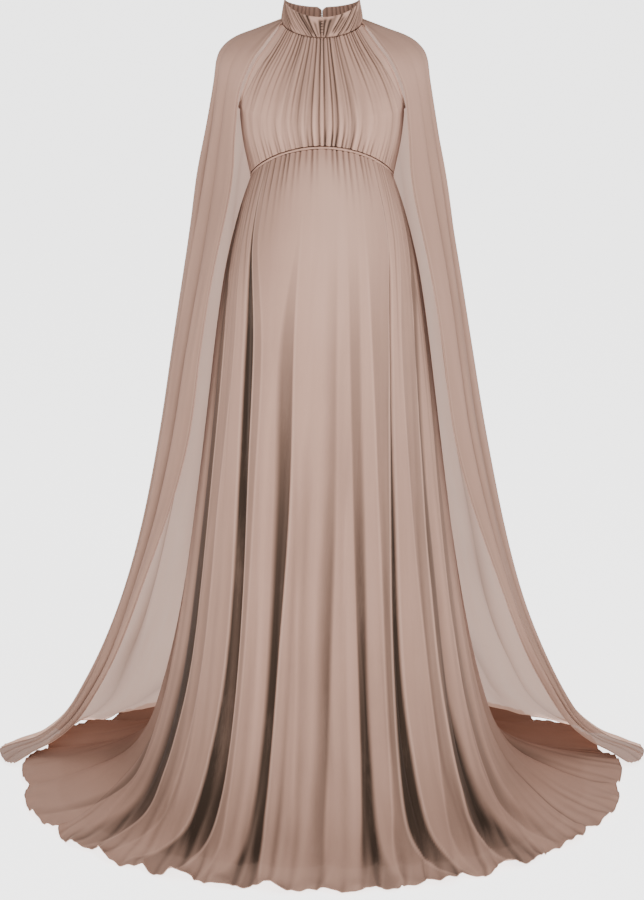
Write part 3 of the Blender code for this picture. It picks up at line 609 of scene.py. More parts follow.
class SkirtForm(Form):
    """The whole skirt; u is the fold's angle at mid height in degrees, 0 at the front."""

    table = SKIRT_RINGS
    outward = -1.0
    crest_power = 2.5
    overhang = 0.02
    lean = 0.18
    front_share = 0.30
    front_shade = 0.12
    unseen_from = 72.0
    unseen_to = 100.0
    wander_degrees = 0.8
    swell_share = 0.10
    shadow_power = 2.6
    shadow_reach = 0.035
    glint_place = 0.10
    hem_scallop_power = 6
    scallop_middle = 0.2

    def __init__(self) -> None:
        """Set the valleys round the ring, with one turn more on both sides."""
        rows = SKIRT_VALLEYS.values
        before = rows[:-1].copy()
        before[:, :3] -= 360.0
        after = rows[1:].copy()
        after[:, :3] += 360.0
        self.valleys = np.vstack([before, rows, after])
        self.wander = Drift(11, 360.0, (3, 11), (3.0, 9.0))
        self.swell = Drift(12, 360.0, (6, 19), (2.5, 8.0))

    def read(self, column: str, u: Array) -> Array:
        """Return a column of the valleys, read between the valleys at mid height."""
        return np.interp(u, self.valleys[:, 1], self.valleys[:, SKIRT_VALLEYS.columns.index(column)])

    def place_of_top(self, angle: float) -> float:
        """Return the place whose angle at the waist is the one given."""
        return float(np.interp(angle, self.valleys[:, 0], self.valleys[:, 1]))

    def place_of_hem(self, angle: float) -> float:
        """Return the place whose angle at the hem is the one given."""
        return float(np.interp(angle, self.valleys[:, 2], self.valleys[:, 1]))

    def angle(self, s: Array, u: Array) -> Array:
        """Return the angle round the ring, in radians."""
        row = SKIRT_RINGS.at(s)
        top = self.read("top", u)
        hem = self.read("hem", u)
        return np.radians(u + (top - u) * row["top"] + (hem - u) * row["fan"])

    def across_fold(self, u: Array) -> tuple[Array, Array]:
        """Return the number of each place's valley and how far it is across its fold."""
        mid = self.valleys[:, 1]
        low = np.clip(np.searchsorted(mid, u, side="right") - 1, 0, len(mid) - 2)
        return low, np.clip((u - mid[low]) / (mid[low + 1] - mid[low]), 0.0, 1.0)

    def crest(self, across: Array) -> Array:
        """Return the height of a fold, 0 in its valleys and 1 on top."""
        return 1.0 - np.abs(2.0 * across - 1.0) ** self.crest_power

    def base(self, s: Array, u: Array) -> Array:
        """Return the points of the skirt without its folds."""
        s, u = np.broadcast_arrays(s, u)
        row = SKIRT_RINGS.at(s)
        angle = self.angle(s, u)
        ahead = np.cos(angle)
        depth = np.where(ahead > 0.0, row["front"], row["back"])
        lift = row["arch"] * np.maximum(ahead, 0.0) ** WAIST_ARCH_POWER
        crest = self.crest(self.across_fold(u)[1])
        reach = 1.0 + SCALLOP / row["width"] * (crest - self.scallop_middle) * (
            np.clip(1.0 - row["sink"], 0.0, 1.0) ** self.hem_scallop_power)
        return np.stack([row["width"] * reach * np.sin(angle), -depth * reach * ahead,
                         row["height"] + lift - NECK_HEIGHT], axis=-1)

    def folds(self, net: Net) -> Relief:
        """Return the relief of the big folds.

        Args:
            net: The grid of the skirt.

        Returns:
            The relief, with the folds' painted shade and the painted highlights on their edges.
        """
        s, u = np.broadcast_arrays(net.level, net.place)
        row = SKIRT_RINGS.at(s)
        relief = Relief.none(u.shape)
        below = smooth(s, 3.0, 7.5)
        place = u + self.wander_degrees * below * self.wander.at(u, s)
        low, across = self.across_fold(place)
        width = self.valleys[low + 1, 1] - self.valleys[low, 1]
        lean = self.valleys[low, 5]
        waist = self.read("waist", place)
        depth = self.read("depth", place) * (1.0 + self.swell_share * below * self.swell.at(u, s))
        size = depth * (waist * row["side"] + (1.0 - waist) * row["belly"])
        crest = self.crest(across)
        turn = np.abs(turned_degrees(self.angle(s, u)))
        unseen = smooth(turn, self.unseen_from, self.unseen_to)
        share = self.front_share + (1.0 - self.front_share) * unseen
        relief.raised = size * (crest - row["sink"]) * share
        strength = np.clip(size / FULL_FOLD, 0.0, 1.3)
        standing = strength * np.clip(row["sink"], 0.0, 1.0)
        slide = self.lean * lean * crest - self.overhang * np.sin(2.0 * math.pi * across)
        relief.shift = width * slide * standing * unseen
        far = np.where(lean < 0.0, across, 1.0 - across)
        near_dark = np.where(lean < 0.0, self.valleys[low, 6], self.valleys[low + 1, 6])
        far_dark = np.where(lean < 0.0, self.valleys[low + 1, 6], self.valleys[low, 6])
        # Painted shade in the valleys and a painted highlight beside each crisp edge, weaker at the front
        # and on the floor.
        lit = (0.35 + 0.65 * np.clip(row["sink"], 0.0, 1.0)) * (
            self.front_shade + (1.0 - self.front_shade) * unseen)
        shadow = far_dark * far ** self.shadow_power
        shadow += 0.9 * near_dark * np.exp(-far / self.shadow_reach)
        relief.shade = lit * strength * shadow
        relief.line = strength * lit * bell(far - self.glint_place, self.shadow_reach) * near_dark
        return relief


class BodiceForm(Form):
    """Front or back of the bodice; u is an angle, -90 and 90 degrees at the two edges."""

    def __init__(self, table: Table, outward: float) -> None:
        """Keep the table of one side."""
        self.table = table
        self.outward = outward

    def base(self, s: Array, u: Array) -> Array:
        """Return the points of the bodice."""
        s, u = np.broadcast_arrays(s, u)
        row = self.table.at(s)
        angle = np.radians(u)
        bulge = signed_power(np.cos(angle), 2.0 * row["round"])
        rise = signed_power(np.cos(angle), SEAM_ARCH_POWER)
        return np.stack([row["edge_x"] * np.sin(angle),
                         row["edge_y"] + (row["mid_y"] - row["edge_y"]) * bulge,
                         row["edge_height"] + (row["mid_height"] - row["edge_height"]) * rise
                         - NECK_HEIGHT], axis=-1)


class CapeForm(Form):
    """The whole cape; u is the place of CAPE_VALLEYS."""

    table = CAPE_LEVELS
    crest_power = 2.1
    overhang = 0.05
    wander_places = 0.035
    swell_share = 0.15
    fold_shade = 0.75

    def __init__(self) -> None:
        """Set the unevenness of the folds."""
        self.wander = Drift(21, 4.0, (2, 9), (4.0, 11.0))
        self.swell = Drift(22, 4.0, (4, 14), (3.0, 9.0))

    def base(self, s: Array, u: Array) -> Array:
        """Return the points of the cape without its folds."""
        s, u = np.broadcast_arrays(s, u)
        row = CAPE_LEVELS.at(s)
        edge_angle = np.arccos(np.clip(row["edge_x"] / row["side_x"], -1.0, 1.0))
        front_depth = (row["side_y"] - row["edge_y"]) / np.sin(edge_angle)
        past_side = np.abs(u) - 1.0
        ahead = edge_angle * past_side
        behind = -0.5 * math.pi * past_side
        in_front = past_side > 0.0
        flat = 1.0 - np.abs(np.cos(behind)) ** SPREAD_POWER
        sweep = np.sin(behind) + (flat - np.sin(behind)) * row["spread"]
        x = row["side_x"] * np.where(in_front, np.cos(ahead), np.cos(behind))
        y = np.where(in_front, row["side_y"] - front_depth * np.sin(ahead),
                     row["side_y"] + (row["back_y"] - row["side_y"]) * sweep)
        far = np.abs(past_side) ** 1.5
        end = np.where(in_front, row["edge_height"], row["back_height"])
        height = row["side_height"] + (end - row["side_height"]) * far
        return np.stack([x * np.sign(u + 1e-12), y, height - NECK_HEIGHT], axis=-1)

    def folds(self, net: Net) -> Relief:
        """Return the relief of the soft folds.

        Args:
            net: The grid of the cape.

        Returns:
            The relief, with the folds' painted shade.
        """
        s, u = np.broadcast_arrays(net.level, net.place)
        row = CAPE_LEVELS.at(s)
        relief = Relief.none(u.shape)
        below = smooth(s, 4.0, 9.0)
        edge = np.clip((2.0 - np.abs(u)) / 0.25, 0.0, 1.0)
        place = u + self.wander_places * below * edge * self.wander.at(u, s)
        valleys = CAPE_VALLEYS.column("place")
        low = np.clip(np.searchsorted(valleys, place, side="right") - 1, 0, len(valleys) - 2)
        width = valleys[low + 1] - valleys[low]
        across = np.clip((place - valleys[low]) / width, 0.0, 1.0)
        crest = 1.0 - np.abs(2.0 * across - 1.0) ** self.crest_power
        depth = np.interp(place, valleys, CAPE_VALLEYS.column("depth"))
        size = row["fold"] * depth * (1.0 + self.swell_share * self.swell.at(u, s))
        relief.raised = size * (crest - row["sink"])
        lean = CAPE_VALLEYS.column("lean")[low]
        strength = size / FULL_CAPE_FOLD
        standing = np.clip(strength, 0.0, 1.2) * np.clip(row["sink"], 0.0, 1.0)
        slide = lean * crest - self.overhang * np.sin(2.0 * math.pi * across)
        relief.shift = width * slide * standing
        relief.shade = self.fold_shade * np.clip(strength, 0.0, 1.0) * (1.0 - crest) ** 1.5
        return relief


class CollarForm(Form):
    """The stand collar; u is the angle in degrees, 0 at the front."""

    table = COLLAR_EDGES

    def base(self, s: Array, u: Array) -> Array:
        """Return the points of the collar's outer face."""
        s, u = np.broadcast_arrays(s, u)
        row = COLLAR_EDGES.at(s)
        angle = np.radians(u)
        ahead = np.cos(angle)
        depth = np.where(ahead > 0.0, row["front"], row["back"])
        drop = np.where(ahead > 0.0, row["front_drop"], row["back_drop"])
        return np.stack([row["width"] * np.sin(angle), -depth * ahead,
                         row["height"] - drop * np.abs(ahead) ** COLLAR_DROP_POWER
                         - NECK_HEIGHT], axis=-1)


class Value:
    """A socket of a material's node tree that takes part in Python expressions."""

    def __init__(self, recipe: "Recipe", socket: bpy.types.NodeSocket) -> None:
        """Keep the socket and the recipe that adds its nodes."""
        self.recipe = recipe
        self.socket = socket

    def maths(self, operation: str, *others: "Value | float", turned: bool = False) -> "Value":
        """Add a Math node.

        Args:
            operation: The name of the operation.
            others: The further inputs.
            turned: True if this value is the last input and not the first.

        Returns:
            The result.
        """
        inputs = [self, *others]
        if turned:
            inputs.reverse()
        return self.recipe.node("ShaderNodeMath", {"operation": operation}, dict(enumerate(inputs)))

    def __add__(self, other: "Value | float") -> "Value":
        """Return the sum."""
        return self.maths("ADD", other)

    def __radd__(self, other: float) -> "Value":
        """Return the sum."""
        return self.maths("ADD", other, turned=True)

    def __sub__(self, other: "Value | float") -> "Value":
        """Return the difference."""
        return self.maths("SUBTRACT", other)

    def __rsub__(self, other: float) -> "Value":
        """Return the difference from a number."""
        return self.maths("SUBTRACT", other, turned=True)

    def __mul__(self, other: "Value | float") -> "Value":
        """Return the product."""
        return self.maths("MULTIPLY", other)

    def __rmul__(self, other: float) -> "Value":
        """Return the product."""
        return self.maths("MULTIPLY", other, turned=True)

    def __truediv__(self, other: "Value | float") -> "Value":
        """Return the quotient."""
        return self.maths("DIVIDE", other)

    def __rtruediv__(self, other: float) -> "Value":
        """Return a number divided by this value."""
        return self.maths("DIVIDE", other, turned=True)

    def __pow__(self, other: "Value | float") -> "Value":
        """Return the power."""
        return self.maths("POWER", other)

    def wave(self) -> "Value":
        """Return the sine."""
        return self.maths("SINE")

    def held(self, low: float = 0.0, high: float = 1.0) -> "Value":
        """Return the value kept between two limits."""
        return self.maths("MAXIMUM", low).maths("MINIMUM", high)


class Recipe:
    """The node tree of one material."""

    def __init__(self, name: str) -> None:
        """Start a material with a Principled shader.

        Args:
            name: The material's name.
        """
        self.material = bpy.data.materials.new(name)
        self.material.use_nodes = True
        self.tree = self.material.node_tree
        self.shader = self.tree.nodes["Principled BSDF"]

    def node(self, kind: str, settings: dict[str, Any], inputs: dict[Any, Any],
             output: int | str = 0) -> Value:
        """Add a node of any type.

        Args:
            kind: The type of the node.
            settings: Its settings by name.
            inputs: Values and links by the socket's name or number.
            output: The output that is returned, by name or number.

        Returns:
            The output as a value.
        """
        made = self.tree.nodes.new(kind)
        for name, setting in settings.items():
            setattr(made, name, setting)
        for key, given in inputs.items():
            if isinstance(given, Value):
                self.tree.links.new(given.socket, made.inputs[key])
            else:
                made.inputs[key].default_value = given
        return Value(self, made.outputs[output])

    def mark(self, name: str) -> Value:
        """Return one of the piece's own marks."""
        return self.node("ShaderNodeAttribute", {"attribute_name": name}, {}, "Fac")

    def mix(self, factor: Value | float, first: Any, second: Any) -> Value:
        """Return a mix of two colours."""
        return self.node("ShaderNodeMix", {"data_type": "RGBA"}, {0: factor, 6: first, 7: second}, 2)

    def noise(self, place: Value, scale: float, detail: float = 2.0) -> Value:
        """Return a noise from 0 to 1 at a place."""
        return self.node("ShaderNodeTexNoise", {"noise_dimensions": "3D"},
                         {"Vector": place, "Scale": scale, "Detail": detail, "Roughness": 0.55}, "Fac")

    def stretched(self, place: Value, x: float, y: float, z: float) -> Value:
        """Return a place with its axes scaled."""
        return self.node("ShaderNodeVectorMath", {"operation": "MULTIPLY"}, {0: place, 1: (x, y, z)})

    def bump(self, height: Value, distance: float, strength: float,
             normal: Value | None = None) -> Value:
        """Return a normal that is bumped by a height."""
        inputs: dict[Any, Any] = {"Height": height, "Distance": distance, "Strength": strength}
        if normal is not None:
            inputs["Normal"] = normal
        return self.node("ShaderNodeBump", {}, inputs)

    def link(self, name: str, value: Value) -> None:
        """Link a value to an input of the shader."""
        self.tree.links.new(value.socket, self.shader.inputs[name])

    def fix(self, name: str, value: Any) -> None:
        """Set an input of the shader that is the same all over."""
        self.shader.inputs[name].default_value = value


def rgba(colour: Colour, factor: float = 1.0) -> tuple[float, float, float, float]:
    """Return a linear colour, scaled, with full alpha."""
    return (colour[0] * factor, colour[1] * factor, colour[2] * factor, 1.0)


@dataclass(frozen=True)
class ChiffonFinish:
    """Matt crepe chiffon with a fine weave, soft streaks along the folds and painted shade in the valleys.
    """

    name: str
    light: Colour
    deep: Colour
    pale: Colour
    cover: float
    thread: float = 0.0009
    roughness: float = 0.82
    sheen: float = 0.02
    # A painted glow in the cloth's own colour.
    painted_glow: float = 0.0
    streaks: tuple[float, float, float] = (70.0, 5.0, 1.0)
    fine_streaks: tuple[float, float, float] = (420.0, 60.0, 1.0)
    patches: float = 7.0
    crepe: float = 1400.0
    ripple_height: float = 0.0018
    thread_height: float = 0.00012
    bump_strength: float = 0.35

    def material(self) -> bpy.types.Material:
        """Make the material.

        Returns:
            The material.
        """
        recipe = Recipe(self.name)
        flat = recipe.node("ShaderNodeUVMap", {"uv_map": "cloth"}, {})
        solid = recipe.node("ShaderNodeTexCoord", {}, {}, "Object")
        shade = recipe.mark("shade").held()
        line = recipe.mark("line").held()
        band = recipe.mark("band").held()
        streak = recipe.noise(recipe.stretched(flat, *self.streaks), 1.0, 3.0)
        patch = recipe.noise(solid, self.patches)
        fine = recipe.noise(recipe.stretched(flat, *self.fine_streaks), 1.0)
        across = recipe.node("ShaderNodeSeparateXYZ", {}, {0: flat}, "X")
        down = recipe.node("ShaderNodeSeparateXYZ", {}, {0: flat}, "Y")
        turn = 2.0 * math.pi / self.thread
        weave = (across * turn).wave() * (down * turn).wave()
        # Painted shade: the shade mark turns the light colour towards the deep one.
        body = recipe.mix(shade, rgba(self.light), rgba(self.deep))
        # Tone that differs at random from the streaks, patches, fine streaks and weave; the streaks also
        # bump the cloth, so their lighter and darker colour is partly painted light and shade on its
        # ripples.
        uneven = (streak - 0.5) * 0.36 + (patch - 0.5) * 0.35 + (fine - 0.5) * 0.16 + weave * 0.02
        body = recipe.mix((uneven * 0.5).held(), body, rgba(self.pale))
        body = recipe.mix((uneven * -0.55).held(), body, rgba(self.deep))
        # Painted highlights and pale strips from the line mark, and the paler single layer below the
        # lining from the band mark.
        body = recipe.mix(line * 0.45 + band * 0.10, body, rgba(self.pale))
        recipe.link("Base Color", body)
        ripple = recipe.bump(streak + fine * 0.15, self.ripple_height, 0.25)
        crepe = recipe.noise(solid, self.crepe)
        threads = recipe.bump(weave * 0.5 + crepe, self.thread_height, self.bump_strength, ripple)
        recipe.link("Normal", threads)
        recipe.link("Roughness", self.roughness + (crepe - 0.5) * 0.12)
        if self.cover < 1.0:
            dense = shade * 0.60 + line * 0.75 + (streak - 0.5) * 0.90 + weave * 0.10
            recipe.link("Alpha", (dense * (1.0 - self.cover) + self.cover).held())
        # Painted light: the cloth glows in its own colour, standing in for light that the sheer cloth lets
        # pass.
        if self.painted_glow > 0.0:
            recipe.link("Emission Color", body)
            recipe.fix("Emission Strength", self.painted_glow)
        recipe.fix("Sheen Weight", self.sheen)
        recipe.fix("Sheen Roughness", 0.45)
        recipe.fix("Specular IOR Level", 0.06)
        return recipe.material


@dataclass(frozen=True)
class TrimFinish:
    """Rolled and corded edges, with fine puckers across the roll."""

    name: str
    light: Colour
    deep: Colour
    puckers: float = 380.0
    patches: float = 24.0
    pucker_height: float = 0.0004

    def material(self) -> bpy.types.Material:
        """Make the material.

        Returns:
            The material.
        """
        recipe = Recipe(self.name)
        solid = recipe.node("ShaderNodeTexCoord", {}, {}, "Object")
        pucker = recipe.noise(solid, self.puckers)
        slow = recipe.noise(solid, self.patches)
        # Darker in the puckers' hollows, painted shade, and in slow patches, tone that differs at random.
        factor = (0.9 * pucker + 0.5 * slow - 0.35).held()
        recipe.link("Base Color", recipe.mix(factor, rgba(self.deep), rgba(self.light)))
        recipe.link("Normal", recipe.bump(pucker, self.pucker_height, 0.5))
        recipe.fix("Roughness", 0.78)
        recipe.fix("Sheen Weight", 0.2)
        return recipe.material


@dataclass(frozen=True)
class FloorFinish:
    """Plain pale studio floor."""

    name: str
    colour: Colour
    glow: float

    def material(self) -> bpy.types.Material:
        """Make the material.

        Returns:
            The material.
        """
        recipe = Recipe(self.name)
        recipe.fix("Base Color", rgba(self.colour))
        recipe.fix("Roughness", 0.9)
        recipe.fix("Specular IOR Level", 0.1)
        recipe.fix("Emission Color", rgba(self.colour))
        recipe.fix("Emission Strength", self.glow)
        return recipe.material


class Slot(Enum):
    """The record's material slots."""

    DRESS = "dress_cloth"
    CAPE = "cape_cloth"
    TRIM = "trim"


class Kit:
    """The finishes of the dress, made once."""

    def __init__(self) -> None:
        """Make the materials."""
        self.dress = ChiffonFinish("dress_chiffon", light=(0.345, 0.205, 0.155),
                                   deep=(0.028, 0.0175, 0.0122), pale=(0.50, 0.32, 0.25),
                                   cover=1.0).material()
        self.cape_side = ChiffonFinish("cape_side_chiffon", light=(0.285, 0.170, 0.129),
                                       deep=(0.10, 0.058, 0.042), pale=(0.44, 0.28, 0.215),
                                       cover=0.965).material()
        # The back panel gets a lighter colour and a glow: painted light standing in for light that the
        # sheer cloth lets pass.
        self.cape_back = ChiffonFinish("cape_back_chiffon", light=(0.31, 0.190, 0.143),
                                       deep=(0.13, 0.074, 0.053), pale=(0.44, 0.29, 0.232),
                                       cover=0.950, painted_glow=1.70).material()
        self.trim = TrimFinish("rolled_trim", light=(0.37, 0.245, 0.195),
                               deep=(0.16, 0.10, 0.075)).material()


def link_object(name: str, data: bpy.types.ID) -> bpy.types.Object:
    """Put new data into the scene as an object."""
    item = bpy.data.objects.new(name, data)
    bpy.context.scene.collection.objects.link(item)
    return item


def grid_sheet(name: str, points: Array, marks: dict[str, Array], flat: Array, turned: bool,
               material: bpy.types.Material) -> bpy.types.Object:
    """Make a sheet from a grid of points.

    Args:
        name: The piece's name.
        points: The points by row and column.
        marks: The values of each mark at each point.
        flat: Where each point lies on the flat cloth, in metres.
        turned: True if the faces are wound the other way.
        material: The finish.

    Returns:
        The sheet as an object.
    """
    rows, columns = points.shape[:2]
    number = np.arange(rows * columns).reshape(rows, columns)
    quads = np.stack([number[:-1, :-1], number[:-1, 1:], number[1:, 1:], number[1:, :-1]], axis=-1)
    quads = quads.reshape(-1, 4)
    if turned:
        quads = quads[:, ::-1]
    corners = np.ascontiguousarray(quads.reshape(-1))
    mesh = bpy.data.meshes.new(name)
    mesh.vertices.add(rows * columns)
    mesh.vertices.foreach_set("co", points.reshape(-1).astype(np.float32))
    mesh.loops.add(len(corners))
    mesh.loops.foreach_set("vertex_index", corners.astype(np.int32))
    mesh.polygons.add(len(quads))
    mesh.polygons.foreach_set("loop_start", np.arange(0, len(corners), 4, dtype=np.int32))
    mesh.update(calc_edges=True)
    mesh.shade_smooth()
    chart = mesh.uv_layers.new(name="cloth")
    chart.data.foreach_set("uv", flat.reshape(-1, 2)[corners].reshape(-1).astype(np.float32))
    for mark, values in marks.items():
        layer = mesh.attributes.new(mark, "FLOAT", "POINT")
        layer.data.foreach_set("value", values.reshape(-1).astype(np.float32))
    mesh.materials.append(material)
    return link_object(name, mesh)


class PathKind(Enum):
    """What a Geometry Nodes tree makes along a path."""

    ROLL = "rolled edge"
    STITCH = "run of stitches"


class PathTree:
    """A Geometry Nodes tree that turns a path into a rolled edge or a run of stitches."""

    def __init__(self, kind: PathKind) -> None:
        """Build the tree.

        Args:
            kind: What the tree makes.
        """
        self.tree = bpy.data.node_groups.new(kind.value, "GeometryNodeTree")
        face = self.tree.interface
        face.new_socket("Path", in_out="INPUT", socket_type="NodeSocketGeometry")
        self.names = {}
        for name, kind_of_socket in (("Radius", "NodeSocketFloat"), ("Pitch", "NodeSocketFloat"),
                                     ("Unevenness", "NodeSocketFloat"), ("Seed", "NodeSocketInt"),
                                     ("Finish", "NodeSocketMaterial")):
            made = face.new_socket(name, in_out="INPUT", socket_type=kind_of_socket)
            self.names[name] = made.identifier
        face.new_socket("Piece", in_out="OUTPUT", socket_type="NodeSocketGeometry")
        self.given = self.tree.nodes.new("NodeGroupInput")
        self.result = self.tree.nodes.new("NodeGroupOutput")
        shape = self.roll() if kind is PathKind.ROLL else self.stitches()
        whole = self.add("GeometryNodeRealizeInstances", {}, {"Geometry": shape})
        dressed = self.add("GeometryNodeSetMaterial", {},
                           {"Geometry": whole, "Material": self.given.outputs["Finish"]})
        self.tree.links.new(dressed, self.result.inputs["Piece"])

    def add(self, kind: str, settings: dict[str, Any], inputs: dict[Any, Any],
            output: int | str = 0) -> bpy.types.NodeSocket:
        """Add a node and return one of its outputs.

        Args:
            kind: The type of the node.
            settings: Its settings by name.
            inputs: Values and links by the socket's name or number.
            output: The output that is returned.

        Returns:
            The output socket.
        """
        made = self.tree.nodes.new(kind)
        for name, setting in settings.items():
            setattr(made, name, setting)
        for key, given in inputs.items():
            if isinstance(given, bpy.types.NodeSocket):
                self.tree.links.new(given, made.inputs[key])
            else:
                made.inputs[key].default_value = given
        return made.outputs[output]

    def maths(self, operation: str, first: Any, second: Any) -> bpy.types.NodeSocket:
        """Add a Math node and return its result."""
        return self.add("ShaderNodeMath", {"operation": operation}, {0: first, 1: second})

    def roll(self) -> bpy.types.NodeSocket:
        """Return a tube along the path whose radius is a little uneven."""
        given = self.given.outputs
        scale = self.maths("DIVIDE", 1.0, given["Pitch"])
        noise = self.add("ShaderNodeTexNoise", {"noise_dimensions": "4D"},
                         {"W": given["Seed"], "Scale": scale, "Detail": 1.0}, "Fac")
        swing = self.maths("MULTIPLY", self.maths("SUBTRACT", noise, 0.5), given["Unevenness"])
        radius = self.maths("MULTIPLY", given["Radius"], self.maths("ADD", swing, 1.0))
        ring = self.add("GeometryNodeCurvePrimitiveCircle", {}, {"Resolution": 7, "Radius": 1.0})
        tube = self.add("GeometryNodeCurveToMesh", {},
                        {"Curve": given["Path"], "Profile Curve": ring, "Scale": radius,
                         "Fill Caps": True})
        return self.add("GeometryNodeSetShadeSmooth", {}, {"Geometry": tube})

    def stitches(self) -> bpy.types.NodeSocket:
        """Return short rounded stitches along the path."""
        given = self.given.outputs
        spots = self.add("GeometryNodeResampleCurve", {"mode": "LENGTH"},
                         {"Curve": given["Path"], "Length": given["Pitch"]})
        along = self.add("GeometryNodeInputTangent", {}, {})
        turn = self.add("FunctionNodeAlignRotationToVector", {"axis": "Z"}, {"Vector": along})
        thread = self.add("GeometryNodeMeshUVSphere", {},
                          {"Segments": 5, "Rings": 4, "Radius": given["Radius"]})
        stretch = self.maths("DIVIDE", self.maths("MULTIPLY", given["Pitch"], 0.38), given["Radius"])
        jitter = self.add("FunctionNodeRandomValue", {"data_type": "FLOAT"},
                          {2: 0.85, 3: 1.15, "Seed": given["Seed"]}, 1)
        size = self.add("ShaderNodeCombineXYZ", {},
                        {"X": 1.0, "Y": 1.0, "Z": self.maths("MULTIPLY", stretch, jitter)})
        run = self.add("GeometryNodeInstanceOnPoints", {},
                       {"Points": spots, "Instance": thread, "Rotation": turn, "Scale": size})
        whole = self.add("GeometryNodeRealizeInstances", {}, {"Geometry": run})
        return self.add("GeometryNodeSetShadeSmooth", {}, {"Geometry": whole})

    def make(self, name: str, paths: Sequence[Array], sizes: dict[str, Any],
             closed: bool = False) -> bpy.types.Object:
        """Make a plain mesh from the tree and some paths.

        Args:
            name: The piece's name.
            paths: The points of each path.
            sizes: The values of the tree's named inputs.
            closed: True if each path is a closed ring.

        Returns:
            The piece, with a mesh and no modifier.
        """
        curve = bpy.data.curves.new(name + "_path", "CURVE")
        curve.dimensions = "3D"
        for path in paths:
            line = curve.splines.new("POLY")
            line.points.add(len(path) - 1)
            line.points.foreach_set("co", np.column_stack([path, np.ones(len(path))]).reshape(-1))
            line.use_cyclic_u = closed
        guide = link_object(name + "_guide", curve)
        modifier = guide.modifiers.new("path", "NODES")
        modifier.node_group = self.tree
        for key, value in sizes.items():
            modifier[self.names[key]] = value
        ready = guide.evaluated_get(bpy.context.evaluated_depsgraph_get())
        mesh = bpy.data.meshes.new_from_object(ready)
        mesh.name = name
        guide.modifiers.remove(modifier)
        bpy.data.objects.remove(guide)
        bpy.data.curves.remove(curve)
        return link_object(name, mesh)


@dataclass
class Trimmer:
    """Makes the rolled edges, cords and stitches of every sheet."""

    finish: bpy.types.Material
    roll_tree: PathTree = field(default_factory=lambda: PathTree(PathKind.ROLL))
    stitch_tree: PathTree = field(default_factory=lambda: PathTree(PathKind.STITCH))

    def roll(self, name: str, paths: Sequence[Array], radius: float, pitch: float = 0.006,
             uneven: float = 0.5, seed: int = 1, closed: bool = False,
             finish: bpy.types.Material | None = None) -> bpy.types.Object:
        """Make a rolled edge or a cord along paths."""
        sizes = {"Radius": radius, "Pitch": pitch, "Unevenness": uneven, "Seed": seed,
                 "Finish": finish or self.finish}
        return self.roll_tree.make(name, paths, sizes, closed)

    def stitch(self, name: str, paths: Sequence[Array], pitch: float, radius: float,
               seed: int = 1) -> bpy.types.Object:
        """Make runs of stitches along paths."""
        sizes = {"Radius": radius, "Pitch": pitch, "Unevenness": 0.0, "Seed": seed,
                 "Finish": self.finish}
        return self.stitch_tree.make(name, paths, sizes)


def own(piece: bpy.types.Object, slot: Slot, *nodes: str) -> bpy.types.Object:
    """Make a piece ride on the dress and hide the solids that it stands for."""
    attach(piece, "root")
    if nodes:
        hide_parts(*nodes)
    LOG.info("%s: %d faces", piece.name, len(piece.data.polygons))
    return piece


def sheet_area(piece: bpy.types.Object) -> float:
    """Return the area of a piece's mesh."""
    areas = np.empty(len(piece.data.polygons))
    piece.data.polygons.foreach_get("area", areas)
    return float(areas.sum())


